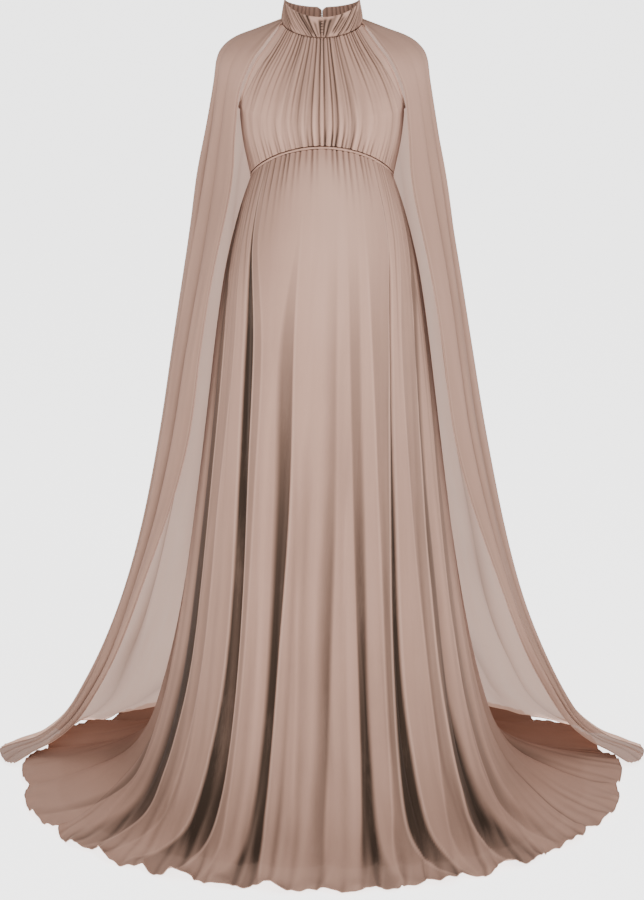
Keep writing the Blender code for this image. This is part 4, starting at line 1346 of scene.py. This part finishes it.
@dataclass
class Skirt:
    """The full skirt: two panels with big folds, gathered into the waist, and their rolled hem."""

    kit: Kit
    trimmer: Trimmer
    rows: int = 215
    front_columns: int = 440
    back_columns: int = 300
    spacing: RowSpacing = RowSpacing(0.0055, 0.0028, 0.0022, 0.09)
    waist_tucks: int = 38
    hem_roll: float = 0.0009
    lining_gap: float = 0.085
    lining_edge: float = 0.004
    lining_behind: float = 0.3
    seam_width: float = 0.0012
    seam_shade: float = 0.35
    join_reach: float = 0.015
    band_wander: float = 0.15
    crisp_degrees: float = 0.8
    crisp_share: float = 0.2
    glint_place: float = 0.0020
    glint_width: float = 0.0019
    hem_wave: float = 0.0050
    hem_wave_behind: float = 0.0020
    hem_ripple: float = 0.0016
    hem_reach: float = 0.040
    edge_reach: float = 0.016
    curl_lift: float = 0.011

    def places(self) -> Array:
        """Return the places of the columns, closer where the waist spreads them."""
        form = self.form
        fine = np.linspace(-90.0, 270.0, 4001)
        even = 0.5 * (fine + form.read("top", fine))
        front = np.interp(np.linspace(-90.0, 90.0, self.front_columns), even, fine)
        back = np.interp(np.linspace(90.0, 270.0, self.back_columns), even, fine)
        return np.concatenate([front, back[1:]])

    def build(self) -> None:
        """Build and dress both panels and their hem."""
        self.form = SkirtForm()
        places = self.places()
        levels = even_levels(self.form, 0.0, self.spacing, self.rows)
        net = Net(self.form.base(levels[:, None], places[None, :]), levels, places, self.form.outward)
        relief = self.form.folds(net)
        self.add_waist_tucks(net, relief)
        self.add_bands(net, relief)
        self.add_creases(net, relief)
        self.add_hem(net, relief)
        points = self.joined(net, net.moved(relief))
        flat = np.stack(np.broadcast_arrays(net.span[len(levels) // 2][None, :],
                                            net.drop.mean(axis=1)[:, None]), axis=-1)
        ahead = np.cos(self.form.angle(levels[-1:, None], places[None, :])) > 0.0
        lining = np.where(ahead, 1.0, self.lining_behind)
        band = lining * smooth(net.rise, self.lining_gap + self.lining_edge,
                               self.lining_gap - self.lining_edge)
        seam = np.maximum(bell(net.span - net.span_at(-90.0), self.seam_width),
                          bell(net.span - net.span_at(90.0), self.seam_width))
        marks = {"shade": np.clip(relief.shade + self.seam_shade * seam, 0.0, 1.0),
                 "line": relief.line, "band": band}
        split = self.front_columns
        for name, part in (("skirt_front", slice(0, split)), ("skirt_back", slice(split - 1, None))):
            piece = grid_sheet(name + "_cloth", points[:, part],
                               {key: value[:, part] for key, value in marks.items()},
                               flat[:, part], True, self.kit.dress)
            own(piece, Slot.DRESS, name)
            edge = points[-1, part] + np.array([0.0, 0.0, 0.3 * self.hem_roll])
            hem = self.trimmer.roll(name + "_hem", [edge], self.hem_roll, 0.012, 0.5, 3,
                                    finish=self.kit.dress)
            own(hem, Slot.DRESS)
            LOG.info("%s area %.3f", name, sheet_area(piece))

    def joined(self, net: Net, points: Array) -> Array:
        """Return the points with the ring's two ends brought together.

        Args:
            net: The skirt's grid.
            points: Its points with their details.

        Returns:
            The points, moved only near the ends.
        """
        gap = 0.5 * (points[:, -1:] - points[:, :1])
        start = np.exp(-net.span / self.join_reach)[..., None]
        end = np.exp(-(net.span[:, -1:] - net.span) / self.join_reach)[..., None]
        return points + gap * start - gap * end

    @staticmethod
    def tuck_length(angle: float) -> float:
        """Return the scale of a waist tuck's length, which is shortest at the middle front."""
        return 0.55 + 0.75 * abs(math.sin(math.radians(angle)))

    def add_waist_tucks(self, net: Net, relief: Relief) -> None:
        """Press the gathers below the waist seam into the relief."""
        front = Tucks(31, self.waist_tucks, -88.0, 88.0, depth=0.0030, width=0.0017,
                      shortest=0.040, longest=0.100, ends=2.0)
        front.add(net, relief, net.drop, self.form.place_of_top, self.tuck_length, dark=0.62)
        for seed, first, last in ((33, -86.0, -52.0), (34, 50.0, 86.0)):
            sides = Tucks(seed, 6, first, last, depth=0.0024, width=0.0016, shortest=0.22,
                          longest=0.52, ends=2.6)
            sides.add(net, relief, net.drop, self.form.place_of_top, dark=0.50)
        back = Tucks(32, 30, 92.0, 268.0, depth=0.0030, width=0.0024, shortest=0.04, longest=0.13)
        back.add(net, relief, net.drop, self.form.place_of_top, dark=0.8)

    def add_bands(self, net: Net, relief: Relief) -> None:
        """Press the hollows between the front folds in, with painted shade and a painted highlight on each
        crisp side.
        """
        rows = np.interp(net.level[:, 0], BAND_LEVELS, np.arange(len(BAND_LEVELS)))
        turn = turned_degrees(self.form.angle(net.level, net.place))
        ring = SKIRT_RINGS.at(net.level)
        metre = np.radians(1.0) * np.hypot(ring["width"] * np.cos(np.radians(turn)),
                                           ring["front"] * np.sin(np.radians(turn)))
        wander = self.band_wander * Drift(57, 360.0, (2, 7), (3.0, 7.0)).at(turn, net.level)
        for band in BANDS:
            read = Table("left right dark", np.column_stack([band.left, band.right, band.dark])).at(rows)
            left, right, dark = (read[name][:, None] for name in ("left", "right", "dark"))
            place = turn + wander
            width = np.maximum(right - left, 0.4)
            across = (place - left) / width
            crispest = np.minimum(self.crisp_degrees / width, 0.5)
            from_left = np.clip(across / np.maximum(band.soft_left, crispest), 0.0, 1.0)
            from_right = np.clip((1.0 - across) / np.maximum(band.soft_right, crispest), 0.0, 1.0)
            inside = (smooth(from_left, 0.0, 1.0) * smooth(from_right, 0.0, 1.0)) ** 0.7
            inside *= smooth(np.abs(turn), 100.0, 92.0)
            strength = np.clip(dark, 0.0, 1.0)
            # Painted shade in the hollow.
            relief.shade = np.maximum(relief.shade, strength * inside)
            relief.raised -= 0.5 * band.depth * strength * inside
            # A painted highlight beside each crisp side.
            for soft, beyond in ((band.soft_left, left - place), (band.soft_right, place - right)):
                if soft < self.crisp_share:
                    away = beyond * metre
                    glint = bell(away - self.glint_place, self.glint_width) * (away > 0.0)
                    relief.line = np.maximum(relief.line, 0.75 * strength ** 0.5 * glint)
        self.add_light_and_shade(net, relief, turn)

    def add_light_and_shade(self, net: Net, relief: Relief, turn: Array) -> None:
        """Add broad painted light on the rounded front and the hem's front, and painted shade low down, at
        the left and behind.

        Args:
            net: The skirt's grid.
            relief: The relief that gets the marks.
            turn: The angle of each point round the skirt, in degrees.
        """
        # Painted shade low down on the skirt, and behind it near the floor.
        low = 0.13 * smooth(net.level, 4.5, 8.0) + 0.10 * smooth(net.level, 8.0, 10.0)
        relief.shade += (1.0 - relief.shade) * low * smooth(net.level, 13.0, 11.5)
        relief.shade += 0.22 * smooth(net.level, 11.5, 12.5) * smooth(np.abs(turn), 88.0, 100.0)
        # Painted light at the front of the hem.
        relief.line += 0.30 * smooth(net.level, 12.0, 13.3) * smooth(np.abs(turn), 88.0, 70.0)
        # A broad painted highlight on the rounded front.
        round_front = bell(turn - 10.0, 26.0) * bell(net.level - 2.0, 2.6)
        relief.line += 0.75 * round_front * (1.0 - np.clip(relief.shade, 0.0, 1.0))
        # Painted shade on the left of the rounded front.
        relief.shade += 0.20 * smooth(-turn, 14.0, 42.0) * smooth(net.level, 5.5, 2.5) * (turn < 0.0)

    def add_creases(self, net: Net, relief: Relief) -> None:
        """Add the long shallow creases."""
        Creases(41, 44, -88.0, 88.0, 0.0022, 0.0065, (0.25, 0.75), (0.0, 0.25)).add(net, relief)
        Creases(42, 34, 92.0, 268.0, 0.0022, 0.0070, (0.15, 0.65), (0.0, 0.25)).add(net, relief)

    def add_hem(self, net: Net, relief: Relief) -> None:
        """Lift and turn the hem into small ruffles and curls, with painted shade in the low ruffles, the
        floor folds and beside the curls.
        """
        turn = np.degrees(self.form.angle(net.level[-1:], net.place))
        waves = Drift(51, 360.0, (36, 64), (0.5, 1.1), 7)
        small = Drift(52, 360.0, (90, 150), (0.3, 0.6), 5)
        near = np.exp(-((net.rise / 0.040) ** 2))
        edge = np.exp(-((net.rise / 0.016) ** 2))
        high = waves.at(turn, net.rise * 6.0)
        behind = smooth(np.cos(np.radians(turn)), 0.1, -0.2)
        relief.lift += (0.0050 - 0.0030 * behind) * near * (0.8 + high)
        relief.lift += 0.0016 * edge * small.at(turn, net.rise)
        floor_folds = Tucks(53, 52, -88.0, 104.0, 0.0022, 0.0042, 0.06, 0.22, ends=2.6)
        floor_folds.add(net, relief, net.rise, self.form.place_of_hem, dark=0.42)
        # Painted shade in the low parts of the ruffles.
        relief.shade += 0.16 * near * np.clip(-high, 0.0, 1.0)
        for angle, width in HEM_CURLS.values:
            curl = bell(turn - angle, width)
            relief.lift += 0.011 * edge * curl
            # Painted shade beside each curl.
            relief.shade += 0.45 * bell(turn - angle - 0.8 * width, 0.35 * width) * near


@dataclass
class Bodice:
    """The halter bodice: a gathered front, a plain back and rolled armhole edges."""

    kit: Kit
    trimmer: Trimmer
    rows: int = 190
    front_columns: int = 400
    back_rows: int = 130
    back_columns: int = 180
    strip: float = 0.014
    binding: float = 0.0017

    def build(self) -> None:
        """Build and dress the bodice."""
        front = BodiceForm(BODICE_FRONT, -1.0)
        back = BodiceForm(BODICE_BACK, 1.0)
        front_net = self.net(front, self.rows, self.front_columns)
        back_net = self.net(back, self.back_rows, self.back_columns)
        front_relief = self.front_relief(front_net)
        back_relief = self.back_relief(back_net)
        front_points = front_net.moved(front_relief)
        back_points = back_net.moved(back_relief)
        seams = self.seams(front_points, back_points)
        for name, net, points, relief in (("bodice_front", front_net, front_points, front_relief),
                                          ("bodice_back", back_net, back_points, back_relief)):
            flat = np.stack(np.broadcast_arrays(net.span[len(points) // 2][None, :],
                                                net.drop.mean(axis=1)[:, None]), axis=-1)
            marks = {"shade": np.clip(relief.shade, 0.0, 1.0), "line": relief.line,
                     "band": np.zeros_like(relief.line)}
            piece = grid_sheet(name + "_cloth", points, marks, flat, net.outward < 0.0, self.kit.dress)
            own(piece, Slot.DRESS, name)
            LOG.info("%s area %.3f", name, sheet_area(piece))

    def net(self, form: BodiceForm, rows: int, columns: int) -> Net:
        """Return the grid of one side."""
        levels = np.linspace(0.0, form.table.count - 1.0, rows)
        turns = np.linspace(-1.0, 1.0, columns)
        places = 90.0 * (0.72 * turns + 0.28 * turns ** 3)
        return Net(form.base(levels[:, None], places[None, :]), levels, places, form.outward)

    def edge_distance(self, net: Net) -> Array:
        """Return how far each point is from the nearer side edge."""
        return np.minimum(net.span, net.span[:, -1:] - net.span)

    @staticmethod
    def gather_length(place: float) -> float:
        """Return the scale of a gather's length, which is longest at the middle front."""
        return 1.0 + 1.8 * math.exp(-((place / 15.0) ** 2))

    def front_relief(self, net: Net) -> Relief:
        """Return the relief of the gathered front.

        Args:
            net: The front's grid.

        Returns:
            The relief with its gathers, smooth strips and soft drape.
        """
        relief = Relief.none(net.span.shape)
        neck = Tucks(61, 28, -70.0, 70.0, 0.0028, 0.0011, 0.080, 0.165, ends=2.4)
        neck.add(net, relief, net.drop, same_place, self.gather_length, dark=0.78)
        waist = Tucks(62, 38, -84.0, 84.0, 0.0028, 0.0013, 0.018, 0.055, ends=2.0)
        waist.add(net, relief, net.rise, same_place, dark=0.68)
        long_ones = Tucks(63, 9, -30.0, 26.0, 0.0018, 0.0024, 0.26, 0.42, ends=4.0)
        long_ones.add(net, relief, net.drop, same_place, dark=0.30)
        side_ones = Tucks(64, 12, -80.0, 80.0, 0.0010, 0.0045, 0.10, 0.24, ends=3.0)
        side_ones.add(net, relief, net.rise, same_place, dark=0.22)
        distance = self.edge_distance(net)
        above = smooth(net.level, 6.9, 6.0)
        smooth_strip = 1.0 - above * (1.0 - smooth(distance, self.strip - 0.002, self.strip + 0.003))
        relief.raised *= smooth_strip
        relief.shade *= smooth_strip
        groove = above * bell(distance - self.strip, 0.0008)
        relief.raised -= 0.0007 * groove
        relief.shade += 0.5 * groove
        relief.line += above * 0.55 * smooth(distance, self.strip, self.strip - 0.002)
        return relief

    def back_relief(self, net: Net) -> Relief:
        """Return the relief of the back, with light gathers at collar and waist."""
        relief = Relief.none(net.span.shape)
        Tucks(66, 16, -60.0, 60.0, 0.0022, 0.0022, 0.03, 0.08).add(net, relief, net.drop, same_place)
        Tucks(67, 26, -84.0, 84.0, 0.0024, 0.0023, 0.015, 0.045).add(net, relief, net.rise, same_place)
        distance = self.edge_distance(net)
        above = smooth(net.level, 6.9, 6.0)
        relief.raised *= 1.0 - above * (1.0 - smooth(distance, 0.010, 0.016))
        middle = bell(net.span - net.span_at(0.0), 0.0009)
        relief.raised -= 0.0006 * middle
        relief.shade += 0.45 * middle + above * 0.5 * bell(distance - self.strip, 0.0008)
        return relief

    def seams(self, front: Array, back: Array) -> dict[str, list[bpy.types.Object]]:
        """Make the rolled armhole edges and the stitches beside them.

        Args:
            front: The points of the front.
            back: The points of the back.

        Returns:
            The pieces that go with each side.
        """
        pieces: dict[str, list[bpy.types.Object]] = {"bodice_front": [], "bodice_back": []}
        front_end = int(round(6.9 / (BODICE_FRONT.count - 1) * (self.rows - 1)))
        back_end = int(round(6.9 / (BODICE_BACK.count - 1) * (self.back_rows - 1)))
        for name, side in (("left", 0), ("right", -1)):
            sign = -1.0 if side == 0 else 1.0
            path = np.vstack([front[2:front_end:2, side], back[back_end:2:-2, side]])
            out = np.array([sign * 0.0012, 0.0, -0.0002])
            roll = self.trimmer.roll(f"armhole_binding_{name}_roll", [path + out], self.binding, 0.004,
                                     0.35, 5, finish=self.kit.dress)
            own(roll, Slot.TRIM, f"armhole_binding_{name}")
            pieces["bodice_front"].append(roll)
        inner = 26
        runs = []
        for column in (inner, inner + 5):
            for side in (column, self.front_columns - 1 - column):
                run = front[3:front_end - 6:2, side]
                runs.append(run + np.array([0.0, -0.0003, 0.0001]))
        stitches = self.trimmer.stitch("armhole_stitches", runs, 0.0026, 0.00028)
        own(stitches, Slot.TRIM)
        pieces["bodice_front"].append(stitches)
        return pieces


@dataclass
class Waist:
    """The corded seam between bodice and skirt."""

    kit: Kit
    trimmer: Trimmer
    width: float = 0.1300
    front: float = 0.1500
    back: float = 0.0840
    height: float = 1.1461
    arch: float = 0.0656
    radius: float = 0.0021

    def build(self) -> None:
        """Build and dress the cord."""
        angle = np.radians(np.arange(0.0, 360.0, 1.0))
        ahead = np.cos(angle)
        depth = np.where(ahead > 0.0, self.front, self.back)
        rise = self.arch * np.maximum(ahead, 0.0) ** WAIST_ARCH_POWER
        path = np.stack([self.width * np.sin(angle), -depth * ahead,
                         self.height + rise - NECK_HEIGHT], axis=-1)
        inwards = np.stack([np.sin(angle), -ahead, np.zeros_like(angle)], axis=-1) * (HALF_CLOTH + 0.0007)
        cord = self.trimmer.roll("waist_cord_roll", [path - inwards], self.radius, 0.0045, 0.9, 7,
                                 closed=True, finish=self.kit.dress)
        own(cord, Slot.TRIM, "waist_cord")


@dataclass
class Collar:
    """The ruched stand collar with its button and thread loop at the back."""

    kit: Kit
    trimmer: Trimmer
    columns: int = 560
    outer_rows: int = 46
    rim_rows: int = 8
    inner_rows: int = 22
    cloth: float = 0.0030
    front_gathers: int = 15
    back_gathers: int = 17
    slant: float = 45.0
    button_radius: float = 0.0040

    def rim_angle(self, base: Array, up: Array) -> Array:
        """Return the angle that a gather, which starts at a base angle, has reached.

        Args:
            base: The gather's angle at the collar's seam, degrees.
            up: How far up the collar, 0 to 1.

        Returns:
            The angle there, degrees.
        """
        away = np.abs(base)
        lean = self.slant * (1.0 - np.exp(-away / 17.0)) * np.clip(1.0 - away / 180.0, 0.0, 1.0) ** 0.7
        return base + np.sign(base) * lean * up ** 1.15

    def gather_places(self) -> Array:
        """Return the base angles of all gathers, close together at the front and even behind."""
        draw = np.random.default_rng(71)
        front = 2.7 * (np.arange(self.front_gathers) + 0.6) * (1.0 + 0.035 * np.arange(self.front_gathers))
        start = front[-1] + 7.0
        rest = np.linspace(start, 176.0, self.back_gathers)
        side = np.concatenate([front, rest])
        left = -(side + draw.uniform(-0.7, 0.7, len(side)))
        right = side + draw.uniform(-0.7, 0.7, len(side))
        return np.concatenate([left, right])

    def build(self) -> None:
        """Build and dress the collar, its button and its loop."""
        form = CollarForm()
        even = np.linspace(-1.0, 1.0, self.columns)
        places = 179.75 * (0.7 * even + 0.3 * even ** 3)
        up = np.concatenate([np.linspace(0.0, 1.0, self.outer_rows), np.ones(self.rim_rows),
                             np.linspace(1.0, 0.0, self.inner_rows)])
        roll = np.concatenate([np.zeros(self.outer_rows),
                               np.linspace(0.0, math.pi, self.rim_rows + 2)[1:-1],
                               np.full(self.inner_rows, math.pi)])
        fine = np.linspace(0.0, 1.0, 60)
        face = Net(form.base(4.0 * fine[:, None], places[None, :]), 4.0 * fine, places, 1.0)
        rows = up * (len(fine) - 1)
        low = np.clip(rows.astype(int), 0, len(fine) - 2)
        part = (rows - low)[:, None, None]
        outer = face.points[low] * (1.0 - part) + face.points[low + 1] * part
        normal = face.normal[low]
        end = np.clip((np.abs(places) - 178.2) / 1.6, 0.0, 1.0)
        cloth = self.cloth * np.sqrt(1.0 - 0.97 * end ** 2)[None, :, None]
        outside = 0.5 + 0.5 * np.cos(roll)[:, None]
        raised, shade = self.ruching(up[:, None], places[None, :], outside)
        crown = np.sin(roll)[:, None, None] * np.array([0.0, 0.0, 0.5]) * cloth
        points = (outer - 0.5 * cloth * normal + 0.5 * cloth * normal * np.cos(roll)[:, None, None]
                  + crown + normal * raised[..., None])
        notch = np.clip(1.0 - (180.0 - np.abs(places)) / 7.0, 0.0, 1.0)[None, :] ** 1.3
        points[..., 2] -= 0.0060 * notch * up[:, None] ** 2
        length = np.concatenate([[0.0], np.cumsum(np.linalg.norm(np.diff(points[:, 0], axis=0), axis=1))])
        flat = np.stack(np.broadcast_arrays(face.span[30][None, :], length[:, None]), axis=-1)
        marks = {"shade": np.clip(shade, 0.0, 1.0), "line": np.zeros_like(shade),
                 "band": np.zeros_like(shade)}
        piece = grid_sheet("collar_cloth", points, marks, flat, False, self.kit.dress)
        own(piece, Slot.DRESS, "collar")
        closure = self.closure()
        LOG.info("collar area %.3f", sheet_area(piece))

    def ruching(self, up: Array, places: Array, outside: Array) -> tuple[Array, Array]:
        """Return the relief and the painted shade of the collar's gathers.

        Args:
            up: How far up the collar each row is.
            places: The angle of each column.
            outside: 1 on the outer face, 0 on the inner face.

        Returns:
            How far each point is raised along the outward normal, and its painted shade.
        """
        base = np.linspace(-180.0, 180.0, 2401)
        own_angle = np.empty((len(up), places.shape[1]))
        for row, height in enumerate(up[:, 0]):
            own_angle[row] = np.interp(places[0], self.rim_angle(base, height), base)
        draw = np.random.default_rng(72)
        raised = np.zeros_like(own_angle)
        shade = np.zeros_like(own_angle)
        for place in self.gather_places():
            depth = draw.uniform(0.55, 1.2)
            first = draw.uniform(-0.35, 0.12)
            last = draw.uniform(0.85, 1.5)
            width = draw.uniform(0.8, 1.2) * (1.15 + 0.010 * abs(place))
            sway = 0.25 * np.sin(4.0 * up + draw.uniform(0.0, 6.0))
            fade = smooth(up, first, first + 0.25) * smooth(up, last, last - 0.25)
            pressed = depth * fade * bell(own_angle - place - sway, width)
            raised -= 0.0017 * pressed
            # Painted shade in each gather.
            shade += 0.95 * pressed
        centre = bell(places, 1.5) * smooth(up, 0.05, 0.2) * smooth(up, 1.0, 0.85)
        raised += centre * (0.0007 * np.sin(2.0 * math.pi * up * 7.0) - 0.0004)
        # Painted shade in the small folds at the middle front.
        shade += centre * (0.30 - 0.30 * np.sin(2.0 * math.pi * up * 7.0))
        # The inner face has pressed ribs; it gets painted shade all over and more in the ribs.
        rib = np.sin(np.radians(places) * 44.0 + 1.6 * np.sin(np.radians(places) * 7.0))
        inner_raised = -0.0008 * rib * np.ones_like(up)
        inner_shade = np.clip(0.05 + 0.40 * rib, 0.0, 1.0) * np.ones_like(up)
        seam = bell(up, 0.05)
        shade = shade * (1.0 - 0.5 * seam) + 0.4 * seam
        inside = 1.0 - outside
        return (raised * outside + inner_raised * inside,
                shade * outside + (0.10 + inner_shade) * inside)

    def closure(self) -> list[bpy.types.Object]:
        """Build the covered button and its thread loop.

        Returns:
            The two pieces.
        """
        edge = COLLAR_EDGES.values[2]
        seat = edge[2] + 0.0003
        height = edge[3] - edge[5] - NECK_HEIGHT
        offset = 0.0052
        dome = 0.0022
        rings = 9
        turns = np.radians(np.arange(0.0, 361.0, 10.0))
        lean = np.concatenate([[-0.001], np.linspace(0.0, 0.5 * math.pi, rings)])
        pucker = 1.0 + 0.05 * np.sin(12.0 * turns)[None, :] * np.clip(1.0 - lean, 0.0, 1.0)[:, None]
        radius = self.button_radius * np.cos(np.maximum(lean, 0.0))[:, None] * pucker
        radius[-1] = 0.0
        out = np.concatenate([[0.0], 0.0012 + dome * np.sin(lean[1:])])[:, None]
        points = np.stack([offset + radius * np.cos(turns), seat + out + 0.0 * radius,
                           height + radius * np.sin(turns)], axis=-1)
        flat = np.stack([radius, out + 0.0 * radius], axis=-1)
        # Painted shade round the foot of the button.
        marks = {"shade": 0.4 * (radius > 0.8 * self.button_radius), "line": 0.0 * radius,
                 "band": 0.0 * radius}
        button = grid_sheet("collar_button_cover", points, marks, flat, False, self.kit.dress)
        own(button, Slot.TRIM, "collar_button")
        sweep = np.radians(np.linspace(-150.0, 150.0, 40))
        loop_radius = self.button_radius + 0.0009
        bend = np.stack([offset + loop_radius * np.cos(sweep), np.full_like(sweep, seat + 0.0009),
                         height + loop_radius * np.sin(sweep)], axis=-1)
        tail = bend[0] + np.array([-0.0048, 0.0, 0.0012])
        head = bend[-1] + np.array([-0.0048, 0.0, -0.0012])
        loop = self.trimmer.roll("collar_loop_thread", [np.vstack([tail, bend, head])], 0.0005, 0.002,
                                 0.4, 9)
        own(loop, Slot.TRIM, "collar_loop")
        return [button, loop]


@dataclass
class Cape:
    """The sheer cape: three panels from the collar to the floor, open at the front."""

    kit: Kit
    trimmer: Trimmer
    rows: int = 235
    spacing: RowSpacing = RowSpacing(0.0075, 0.0030, 0.0035, 0.10)
    spacing_place: float = -1.4
    side_columns: int = 150
    back_columns: int = 360
    edge_roll: float = 0.0008
    corner: float = 0.045

    def build(self) -> None:
        """Build and dress the panels and their rolled edges."""
        form = CapeForm()
        left = np.linspace(-2.0, -1.0, self.side_columns)
        back = np.linspace(-1.0, 1.0, self.back_columns)
        places = np.concatenate([left, back[1:], (-left[::-1])[1:]])
        levels = even_levels(form, self.spacing_place, self.spacing, self.rows)
        net = Net(form.base(levels[:, None], places[None, :]), levels, places, form.outward)
        relief = form.folds(net)
        Tucks(81, 34, -1.95, 1.95, 0.0010, 0.0024, 0.02, 0.07).add(net, relief, net.drop,
                                                                    same_place, dark=0.5)
        Creases(82, 46, -1.95, 1.95, 0.0022, 0.0070, (0.10, 0.60), (0.0, 0.3)).add(net, relief)
        self.add_edges(net, relief)
        points = self.rounded(net, net.moved(relief))
        flat = np.stack(np.broadcast_arrays(net.span[len(levels) // 2][None, :],
                                            net.drop.mean(axis=1)[:, None]), axis=-1)
        marks = {"shade": np.clip(relief.shade, 0.0, 1.0), "line": np.clip(relief.line, 0.0, 1.0),
                 "band": np.zeros_like(relief.line)}
        first = self.side_columns
        last = first + self.back_columns - 1
        parts = (("cape_left", slice(0, first)), ("cape_back", slice(first - 1, last)),
                 ("cape_right", slice(last - 1, None)))
        for name, part in parts:
            piece = grid_sheet(name + "_cloth", points[:, part],
                               {key: value[:, part] for key, value in marks.items()},
                               flat[:, part], False,
                               self.kit.cape_back if name == "cape_back" else self.kit.cape_side)
            own(piece, Slot.CAPE, name)
            paths = [points[-1, part]]
            if name == "cape_left":
                paths.append(points[:, 0])
            if name == "cape_right":
                paths.append(points[:, -1])
            hem = self.trimmer.roll(name + "_edge", paths, self.edge_roll, 0.010, 0.5, 11,
                                    finish=self.kit.dress)
            own(hem, Slot.CAPE)
            LOG.info("%s area %.3f", name, sheet_area(piece))

    def rounded(self, net: Net, points: Array) -> Array:
        """Return the points with the front corners of the hem rounded.

        Args:
            net: The cape's grid.
            points: Its points with their details.

        Returns:
            The points, moved only near the two corners.
        """
        left = net.span < net.span[:, -1:] - net.span
        ends = np.minimum(net.span, net.span[:, -1:] - net.span)
        near_front = np.clip(1.0 - ends / self.corner, 0.0, 1.0)
        near_hem = np.clip(1.0 - net.rise / self.corner, 0.0, 1.0)
        inwards = self.corner * near_front * (1.0 - np.sqrt(1.0 - 0.5 * near_hem ** 2))
        upwards = self.corner * near_hem * (1.0 - np.sqrt(1.0 - 0.5 * near_front ** 2))
        across = net.across / net.scale[..., None] * np.where(left, 1.0, -1.0)[..., None]
        along = np.gradient(points, axis=0)
        along /= np.linalg.norm(along, axis=2, keepdims=True)
        return points + across * inwards[..., None] - along * upwards[..., None]

    def add_edges(self, net: Net, relief: Relief) -> None:
        """Soften the front edges, mark the side seams and ruffle the hem, with painted shade in the
        ruffles and down the left side.
        """
        turn = 90.0 * net.place
        waves = Drift(83, 360.0, (30, 56), (0.5, 1.1), 7)
        small = Drift(84, 360.0, (80, 130), (0.3, 0.6), 5)
        near = np.exp(-((net.rise / 0.045) ** 2))
        edge = np.exp(-((net.rise / 0.018) ** 2))
        high = waves.at(turn, net.rise * 6.0)
        calm = 0.45 - 0.30 * smooth(np.abs(net.place), 0.75, 1.1)
        relief.lift += calm * (0.0055 * near * (0.8 + high)
                               + 0.0018 * edge * small.at(turn, net.rise)) + 0.004 * (1.0 - calm) * near
        # Painted shade in the low parts of the hem's ruffles.
        relief.shade += 0.15 * calm * near * np.clip(-high, 0.0, 1.0)
        ends = np.minimum(net.span, net.span[:, -1:] - net.span)
        relief.shade += 0.7 * bell(ends, 0.0016)
        # Painted shade down the left side.
        relief.shade += 0.16 * smooth(-net.place, 1.0, 1.35) * smooth(net.level, 3.0, 7.0)
        relief.line += 0.4 * bell(ends - 0.004, 0.0016)
        sway = Drift(85, 4.0, (1, 3), (2.0, 5.0), 5).at(net.place, net.level)
        relief.raised += 0.0035 * sway * np.exp(-ends / 0.05) * smooth(net.level, 4.0, 8.0)
        for side in (-1.0, 1.0):
            seam = bell(net.span - net.span_at(side), 0.0012)
            relief.shade += 0.4 * seam
            relief.raised -= 0.0004 * seam


@dataclass
class Studio:
    """The floor, the lights and the camera."""

    distance: float = 4.5
    eye_height: float = 1.65
    pitch: float = 12.7
    lens: float = 99.2
    sensor: float = 36.0

    def build(self) -> None:
        """Build the studio."""
        self.add_floor()
        self.add_light("key_light", (1.7, -3.3, 2.5), (0.0, 0.0, -0.55), 1.3, 92.0)
        self.add_light("fill_light", (-0.7, -4.4, 0.5), (0.0, 0.0, -0.65), 1.6, 78.0)
        self.add_light("top_light", (0.0, 0.6, 3.2), (0.0, 0.0, -0.6), 2.6, 40.0)
        world = bpy.data.worlds.new("studio")
        world.use_nodes = True
        backdrop = world.node_tree.nodes["Background"]
        backdrop.inputs["Color"].default_value = (1.0, 0.985, 0.97, 1.0)
        backdrop.inputs["Strength"].default_value = 0.75
        bpy.context.scene.world = world
        self.add_camera()

    def add_floor(self) -> None:
        """Add the floor."""
        half = 90.0
        mesh = bpy.data.meshes.new("floor")
        z = FLOOR_Z - FLOOR_GAP
        mesh.from_pydata([(-half, -half, z), (half, -half, z), (half, half, z), (-half, half, z)], [],
                         [(0, 1, 2, 3)])
        mesh.materials.append(FloorFinish("floor_paint", (0.92, 0.92, 0.92), 2.8).material())
        link_object("floor", mesh)

    def add_light(self, name: str, place: tuple[float, float, float],
                  target: tuple[float, float, float], size: float, power: float) -> None:
        """Add a soft square light.

        Args:
            name: The light's name.
            place: Where it is.
            target: What it points at.
            size: The length of its sides.
            power: Its power in watts.
        """
        light = bpy.data.lights.new(name, "AREA")
        light.shape = "SQUARE"
        light.size = size
        light.energy = power
        item = link_object(name, light)
        item.location = place
        towards = np.array(target) - np.array(place)
        flat = math.hypot(towards[0], towards[1])
        item.rotation_euler = (math.atan2(flat, -towards[2]), 0.0,
                               math.atan2(-towards[0], towards[1]))

    def add_camera(self) -> None:
        """Add the camera at the photograph's viewing angle."""
        lens = bpy.data.cameras.new("camera")
        lens.lens = self.lens
        lens.sensor_width = self.sensor
        item = link_object("camera", lens)
        item.location = (0.0, -self.distance, self.eye_height - NECK_HEIGHT)
        item.rotation_euler = (math.radians(90.0 - self.pitch), 0.0, 0.0)
        bpy.context.scene.camera = item


def main() -> None:
    """Build the dress and the studio."""
    logging.basicConfig(level=logging.INFO, format="%(message)s")
    Studio().build()
    kit = Kit()
    trimmer = Trimmer(kit.trim)
    Waist(kit, trimmer).build()
    Collar(kit, trimmer).build()
    Bodice(kit, trimmer).build()
    Skirt(kit, trimmer).build()
    Cape(kit, trimmer).build()


if __name__ == "__main__":
    main()
